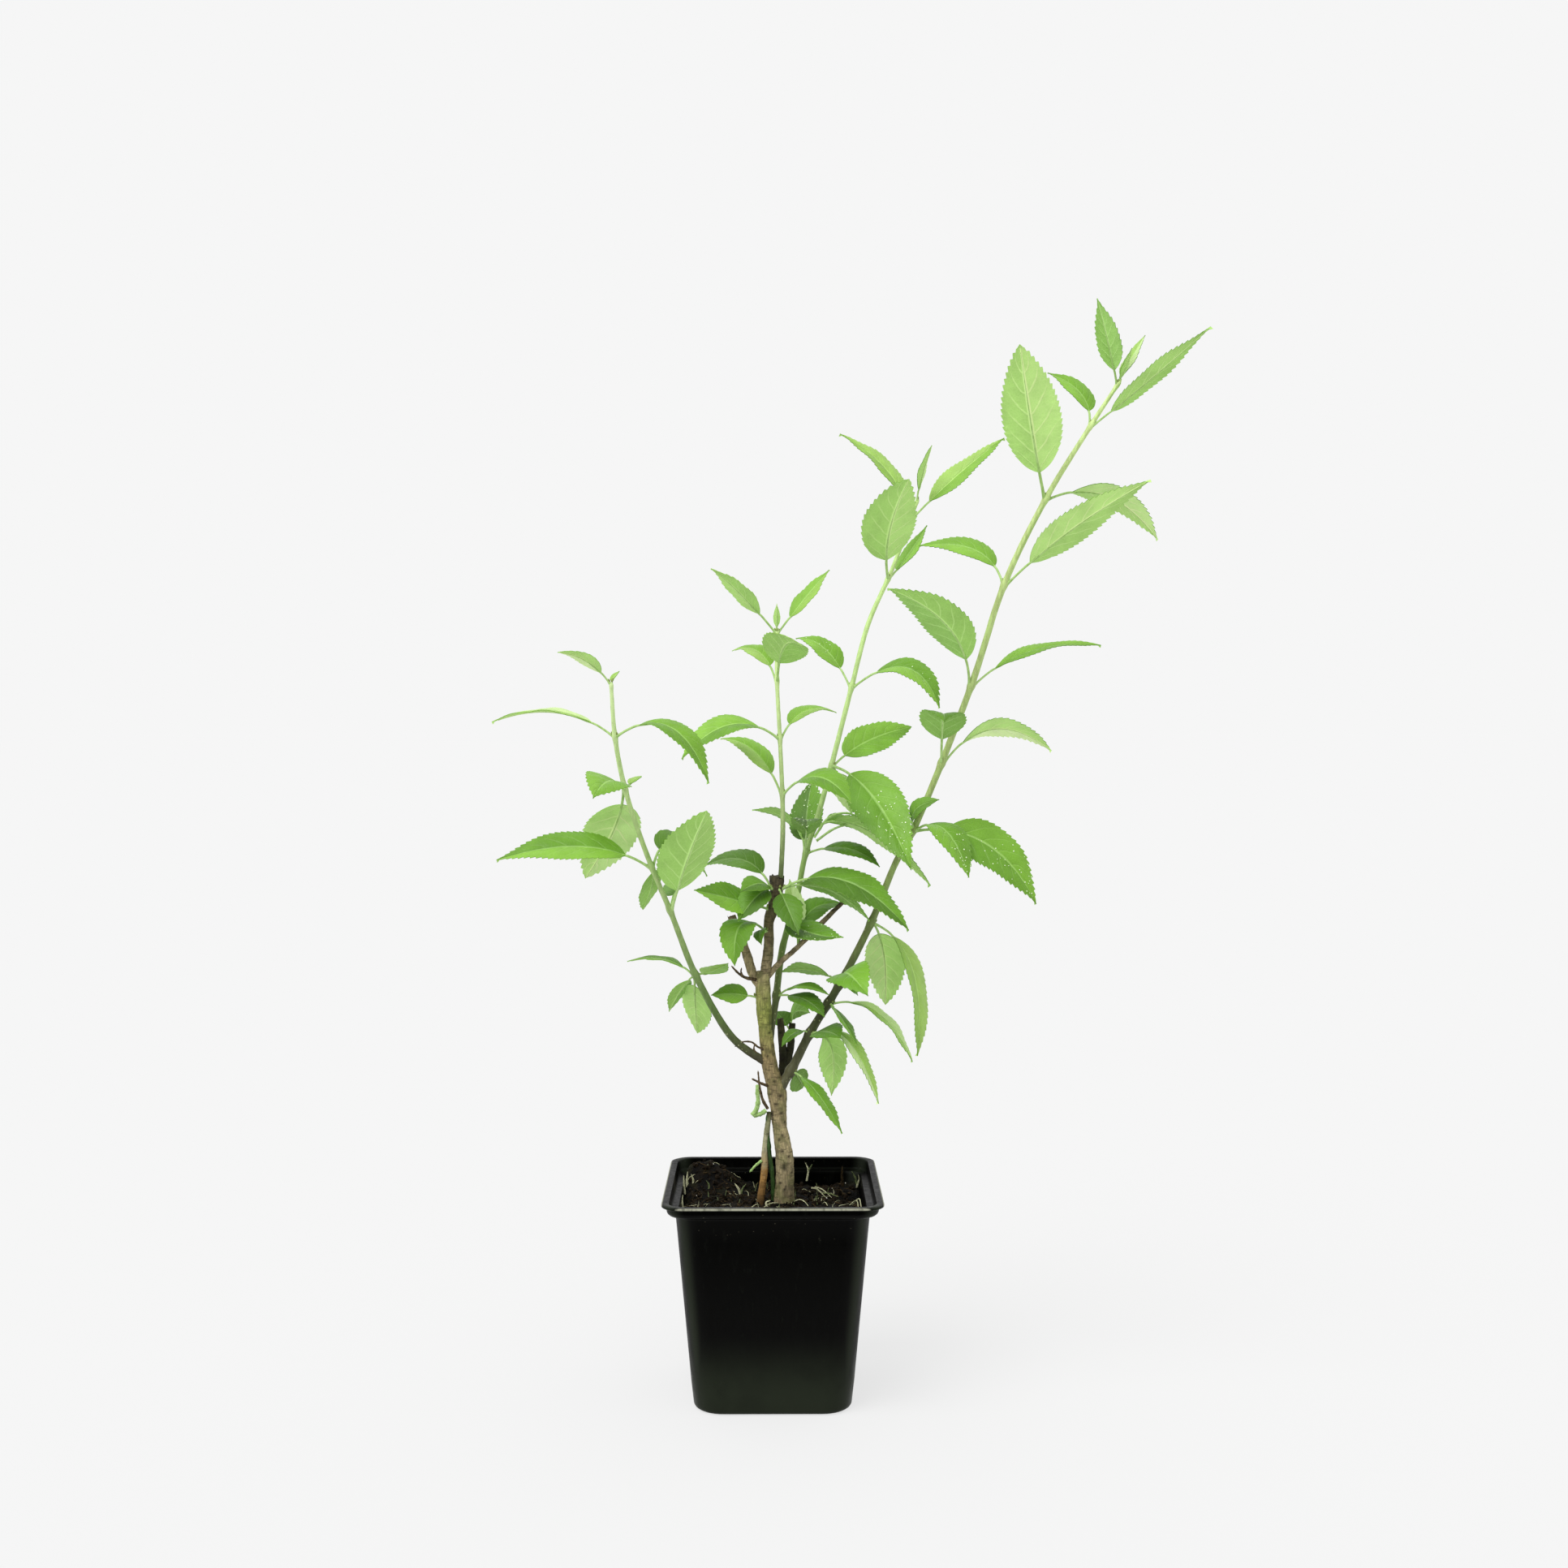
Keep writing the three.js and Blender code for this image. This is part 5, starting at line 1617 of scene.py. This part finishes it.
@dataclass
class Compost:
    """The peat in the pot: an uneven surface with crumbs, bark fines, threads and grains."""
    palette: Palette
    pot: NurseryPot
    top: float = 79.3
    faces: int = 150
    heap: Four = (-30.0, 33.0, 12.0, 10.0)       # x, y, spread and height
    mound: Four = (3.0, -4.0, 9.0, 0.9)          # the same, round the trunk
    hollows: tuple[Four, ...] = (                # x, y, spread and depth
        (-9, 17, 5.5, 6), (-8, 29, 6, 5), (22, 35, 8, 4), (35, 8, 6, 4.5), (-37, 6, 4, 4), (0, 3, 3.5, 4),
        (6, 34, 7, 3))
    # three reliefs: waves to a millimetre, shift, roughness, step between octaves, octaves, height
    reliefs: tuple[tuple, ...] = (
        (0.075, (0, 0, 0), 1.0, 2.0, 3, 1.5), (0.35, (9, 4, 2), 0.9, 2.1, 3, 0.7),
        (1.1, (3, 8, 5), 0.9, 2.1, 2, 0.35))
    wall_at: float = 38.5                        # from the middle
    wall_dip: float = 1.6                        # how far the peat sinks along the wall
    trunk_at: tuple[float, float] = (4.8, -3.0)
    trunk_room: float = 5.5                      # kept clear round it
    corner_room: float = 7.0                     # corner radius of the area that is strewn
    gap: float = 0.3                             # between the filling and the wall
    corner: float = 7.6                          # corner radius of the filling
    waist: float = 60.0                          # height of the ring half way down its sides
    foot: float = 4.6                            # and of the one at the pot's floor
    bend: float = 1.4                            # how far a thread may turn, in radians
    lift: float = 0.15                           # a thread's clearance over the peat

    def height(self, x: float, y: float) -> float:
        """Height of the surface at a place."""
        def swell(spot: Four) -> float:
            """What one heap or hollow adds here."""
            px, py, spread, rise = spot
            return rise * bell(math.hypot(x - px, y - py), spread)

        z = self.top
        for scale, shift, roughness, step, octaves, rise in self.reliefs:
            z += noise.fractal(Vector((x, y, 0)) * scale + Vector(shift), roughness, step, octaves) * rise
        wall = max(abs(x), abs(y)) / self.wall_at
        dips = sum(swell(spot) for spot in self.hollows)
        return z + swell(self.heap) + swell(self.mound) - dips - self.wall_dip * smooth(0.93, 1.0, wall)

    def half_at(self, z: float, margin: float) -> float:
        """Half width inside the wall at a height, less a margin."""
        return self.pot.across(z) / 2 - self.pot.wall - margin

    def inside(self, rng: random.Random, margin: float = 2.5) -> tuple[float, float]:
        """A place on the surface, inside the wall and clear of the trunk."""
        reach = self.half_at(self.top, margin)
        room = self.corner_room
        while True:
            x, y = rng.uniform(-reach, reach), rng.uniform(-reach, reach)
            past = math.hypot(max(0, abs(x) - reach + room), max(0, abs(y) - reach + room))
            if past < room and math.dist((x, y), self.trunk_at) > self.trunk_room:
                return x, y

    def build(self, rng: random.Random) -> None:
        """Builds the compost and everything that lies on it."""
        self.build_surface()
        for lumps in LUMPS:
            self.build_lumps(rng, lumps)
        self.build_threads(rng)

    def build_surface(self) -> None:
        """Builds the filling, from its uneven top down to the pot's floor."""
        bm = new_mesh()
        n = self.faces
        grid = add_grid(bm, n, n)
        top_half = self.half_at(self.top, self.gap)
        for v, column, row in grid:
            x, y = 2 * column / n - 1, 2 * row / n - 1
            v.co = Vector((*self.squared(x, y, top_half, self.corner), 0))
            v.co.z = self.height(v.co.x, v.co.y)
        rim = [e for e in bm.edges if e.is_boundary]
        foot_half = self.half_at(4, self.gap)
        rings = ((self.waist, None), (self.foot, foot_half), (self.pot.floor + 0.4, foot_half - 2.5))
        for z, half in rings:
            made = bmesh.ops.extrude_edge_only(bm, edges=rim)["geom"]
            rim = [g for g in made if isinstance(g, Edge)]
            goal = half or self.half_at(z, self.gap)
            for v in (g for g in made if isinstance(g, Vert)):
                now = max(abs(v.co.x), abs(v.co.y))
                full = now if now > top_half - 0.01 else top_half
                v.co = Vector((v.co.x * goal / full, v.co.y * goal / full, z))
        bmesh.ops.holes_fill(bm, edges=rim, sides=0)
        bmesh.ops.recalc_face_normals(bm, faces=bm.faces)
        piece("compost_filling", bm, [self.palette.get(CompostFinish())], ("soil",))

    def squared(self, x: float, y: float, half: float, corner: float) -> tuple[float, float]:
        """Maps the unit square onto a square with rounded corners."""
        px, py = x * half, y * half
        inner = half - corner
        reach = max(abs(x), abs(y))
        if reach < 1e-6:
            return px, py
        ex, ey = px / reach, py / reach
        if abs(ex) > inner and abs(ey) > inner:
            dx, dy = abs(ex) - inner, abs(ey) - inner
            scale = corner / math.hypot(dx, dy) if math.hypot(dx, dy) > corner else 1.0
            ex, ey = math.copysign(inner + dx * scale, ex), math.copysign(inner + dy * scale, ey)
        return ex * reach, ey * reach

    def build_lumps(self, rng: random.Random, lumps: Lumps) -> None:
        """Scatters one kind of lump over the surface."""
        bm = new_mesh("shade")
        least, most = lumps.radii

        def shape(p: Vector) -> Vector:
            """A point of the lump being added."""
            lumpy = 1 + 0.45 * noise.noise(p * 1.6 + key)
            spot = turn @ Vector((p.x * long, p.y, p.z * 0.8)) * (size * lumpy)
            return seat + Vector((spot.x, spot.y, spot.z * lumps.flat))

        for _ in range(lumps.count):
            x, y = self.inside(rng)
            size = least + (most - least) * rng.random() ** 2.2
            turn = Quaternion([rng.gauss(0, 1) for _ in range(4)]).normalized()
            seat = Vector((x, y, self.height(x, y) + size * lumps.flat * 0.35))
            tone, key = rng.random(), Vector((rng.uniform(0, 99), 0, 0))
            long = rng.uniform(1.0, 1.9)
            add_ball(bm, 2 if size > 0.8 else 1, tone, shape)
        piece(lumps.name, bm, [self.palette.get(lumps.finish)])

    def build_threads(self, rng: random.Random) -> None:
        """Adds the threads that lie on the peat, the sprigs that stand up and the rootlets at the foot."""
        groups = {finish: new_mesh("shade") for finish in THREAD_PIECES}
        for kind in THREADS:
            for i in range(kind.count):
                bm = groups["root" if i % kind.every == 0 else kind.finish]
                self.thread(bm, rng, kind)
        for growth in GROWTHS:
            self.strand(groups[growth.finish], Limb([(*p, 1.0) for p in growth.via]), growth.thick, rng)
        for finish, bm in groups.items():
            piece(THREAD_PIECES[finish], bm, [self.palette.get(finish)])

    def thread(self, bm: Mesh, rng: random.Random, kind: Threads) -> None:
        """One thread of a kind from a random place."""
        length, thick, stand = rng.uniform(*kind.lengths), rng.uniform(*kind.thicknesses), kind.stand
        x, y = self.inside(rng, 4)
        z = self.height(x, y)
        heading = rng.uniform(0, 2 * math.pi)
        bend = rng.uniform(-self.bend, self.bend)
        via = []
        for i in range(5):
            part = i / 4
            a = heading + bend * part
            flat = length * part * (1 - 0.75 * stand)
            px, py = x + flat * math.cos(a), y + flat * math.sin(a)
            limit = self.half_at(self.top, 0.8)
            px, py = max(-limit, min(limit, px)), max(-limit, min(limit, py))
            rest = max(z if stand else -1e9, self.height(px, py)) + self.lift
            hump = 0.5 * math.sin(math.pi * part) * (1 - stand)
            via.append((px, py, rest + hump + stand * length * part * 0.85 - 0.6 * (part == 0), 1.0))
        self.strand(bm, Limb(via), thick, rng)

    def strand(self, bm: Mesh, limb: Limb, thick: float, rng: random.Random) -> None:
        """One thin tapering strand along a line."""
        ts = [i / 9 for i in range(10)]
        path = stations([limb.point(t) for t in ts])
        shade = bm.verts.layers.float["shade"]
        tone = rng.random()
        for v in add_tube(bm, path, 5, lambda row, angle: thick * (1 - 0.75 * ts[row] ** 2)):
            v[shade] = tone


# ---- Studio ----------------------------------------------------------------------------
@dataclass
class Studio:
    """A plain pale floor, soft light from all round, a soft key light and the camera."""
    floor_half: float = 40.0
    floor_drop: float = 0.0002     # keeps it clear of the pot's underside
    floor_share: float = 0.15      # how much of the light on it the floor gives back
    room: float = 0.9216           # radiance of the surroundings, and of the floor
    key: float = 2.1
    key_angle: float = 38.0
    key_from: Point = (-0.45, -0.5, 1.0)
    lens: float = 42.466
    camera_at: Point = (0.0, -0.776, 0.280)
    camera_turn: Point = (88.22, 0.0, -0.35)
    sensor: float = 36.0
    # name, size, middle and tilt of each black card
    flags: tuple[tuple, ...] = (
        ("flag_low", (2.4, 1.2), (0, -0.765, 0.0005), 0), ("flag_front", (2.4, 1.6), (0, -1.36, 0.8), 90))

    def build(self) -> None:
        """Builds floor, flags, lights and camera."""
        self.build_floor()
        self.build_flags()
        self.build_lights()
        self.build_camera()

    def plane(self, name: str, size: tuple[float, float], at: Point, tilt: float = 0.0,
              grey: float = 0.0, glow: float = 0.0) -> bpy.types.Object:
        """A flat matt card of the studio.

        Args:
            name: the card's name.
            size: width and depth, in metres.
            at: its middle.
            tilt: turn about the x axis, in degrees.
            grey: share of light it gives back.
            glow: radiance it gives off by itself.
        Returns:
            The card.
        """
        bm = bmesh.new()
        bmesh.ops.create_grid(bm, x_segments=1, y_segments=1, size=0.5)
        bmesh.ops.scale(bm, vec=(*size, 1), verts=bm.verts)
        bmesh.ops.rotate(bm, matrix=Matrix.Rotation(math.radians(tilt), 3, "X"), verts=bm.verts)
        bmesh.ops.translate(bm, vec=at, verts=bm.verts)
        mesh = mesh_from(name, bm)
        sh = Shader(name + "_paint", 0.9, 0.0)
        sh.surface.inputs["Base Color"].default_value = (grey, grey, grey, 1.0)
        sh.surface.inputs["Emission Color"].default_value = (1.0, 1.0, 1.0, 1.0)
        sh.surface.inputs["Emission Strength"].default_value = glow
        mesh.materials.append(sh.material)
        card = add_object(name, mesh)
        return card

    def build_floor(self) -> None:
        """The pale floor, which runs far out of sight and is as light as the surroundings."""
        lean = Vector(self.key_from).normalized().z
        lit = self.floor_share * (self.room + self.key * lean / math.pi)
        side = 2 * self.floor_half
        self.plane("floor", (side, side), (0, 0, -self.floor_drop), 0, self.floor_share, self.room - lit)

    def build_flags(self) -> None:
        """Black cards that only reflections see, as are set up in front of glossy black ware."""
        for card in self.flags:
            flag = self.plane(*card)
            flag.visible_camera = flag.visible_diffuse = flag.visible_shadow = False
            flag.visible_transmission = False

    def build_lights(self) -> None:
        """Even light from the surroundings and one broad key light."""
        world = bpy.data.worlds.new("studio")
        world.use_nodes = True
        back = world.node_tree.nodes["Background"]
        back.inputs["Color"].default_value = (1, 1, 1, 1)
        back.inputs["Strength"].default_value = self.room
        bpy.context.scene.world = world
        light = bpy.data.lights.new("key", "SUN")
        light.energy, light.angle = self.key, math.radians(self.key_angle)
        lamp = add_object("key", light)
        lamp.rotation_mode = "QUATERNION"
        lamp.rotation_quaternion = Vector(self.key_from).to_track_quat("Z", "Y")

    def build_camera(self) -> None:
        """The camera."""
        data = bpy.data.cameras.new("camera")
        data.lens, data.sensor_width, data.clip_start, data.clip_end = self.lens, self.sensor, 0.01, 200.0
        camera = add_object("camera", data)
        camera.location = self.camera_at
        camera.rotation_euler = tuple(math.radians(a) for a in self.camera_turn)
        bpy.context.scene.camera = camera
        bpy.context.scene.view_settings.view_transform = "Standard"
        bpy.context.scene.view_settings.look = "None"


def main() -> None:
    """Builds pot, compost, wood, shoots and leaves, then the studio round them."""
    logging.basicConfig(level=logging.INFO, format="%(message)s")
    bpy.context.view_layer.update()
    palette = Palette()
    pot = NurseryPot(palette)
    pot.build()
    Compost(palette, pot).build(random.Random(11))
    Woodwork(palette).build(random.Random(23))
    maker = LeafMaker(random.Random(37))
    for shoot in (Shoot("shoot_left", palette, maker), Shoot("shoot_centre", palette, maker),
                  Shoot("shoot_middle", palette, maker), Shoot("shoot_right", palette, maker, blush=0.3)):
        shoot.build_stem()
        shoot.build_leaves()
    crown = {k: s for k, s in SPROUTS.items() if not s.limb.startswith("shoot")}
    build_foliage("crown", crown, palette, maker)
    Studio().build()


if __name__ == "__main__":
    main()
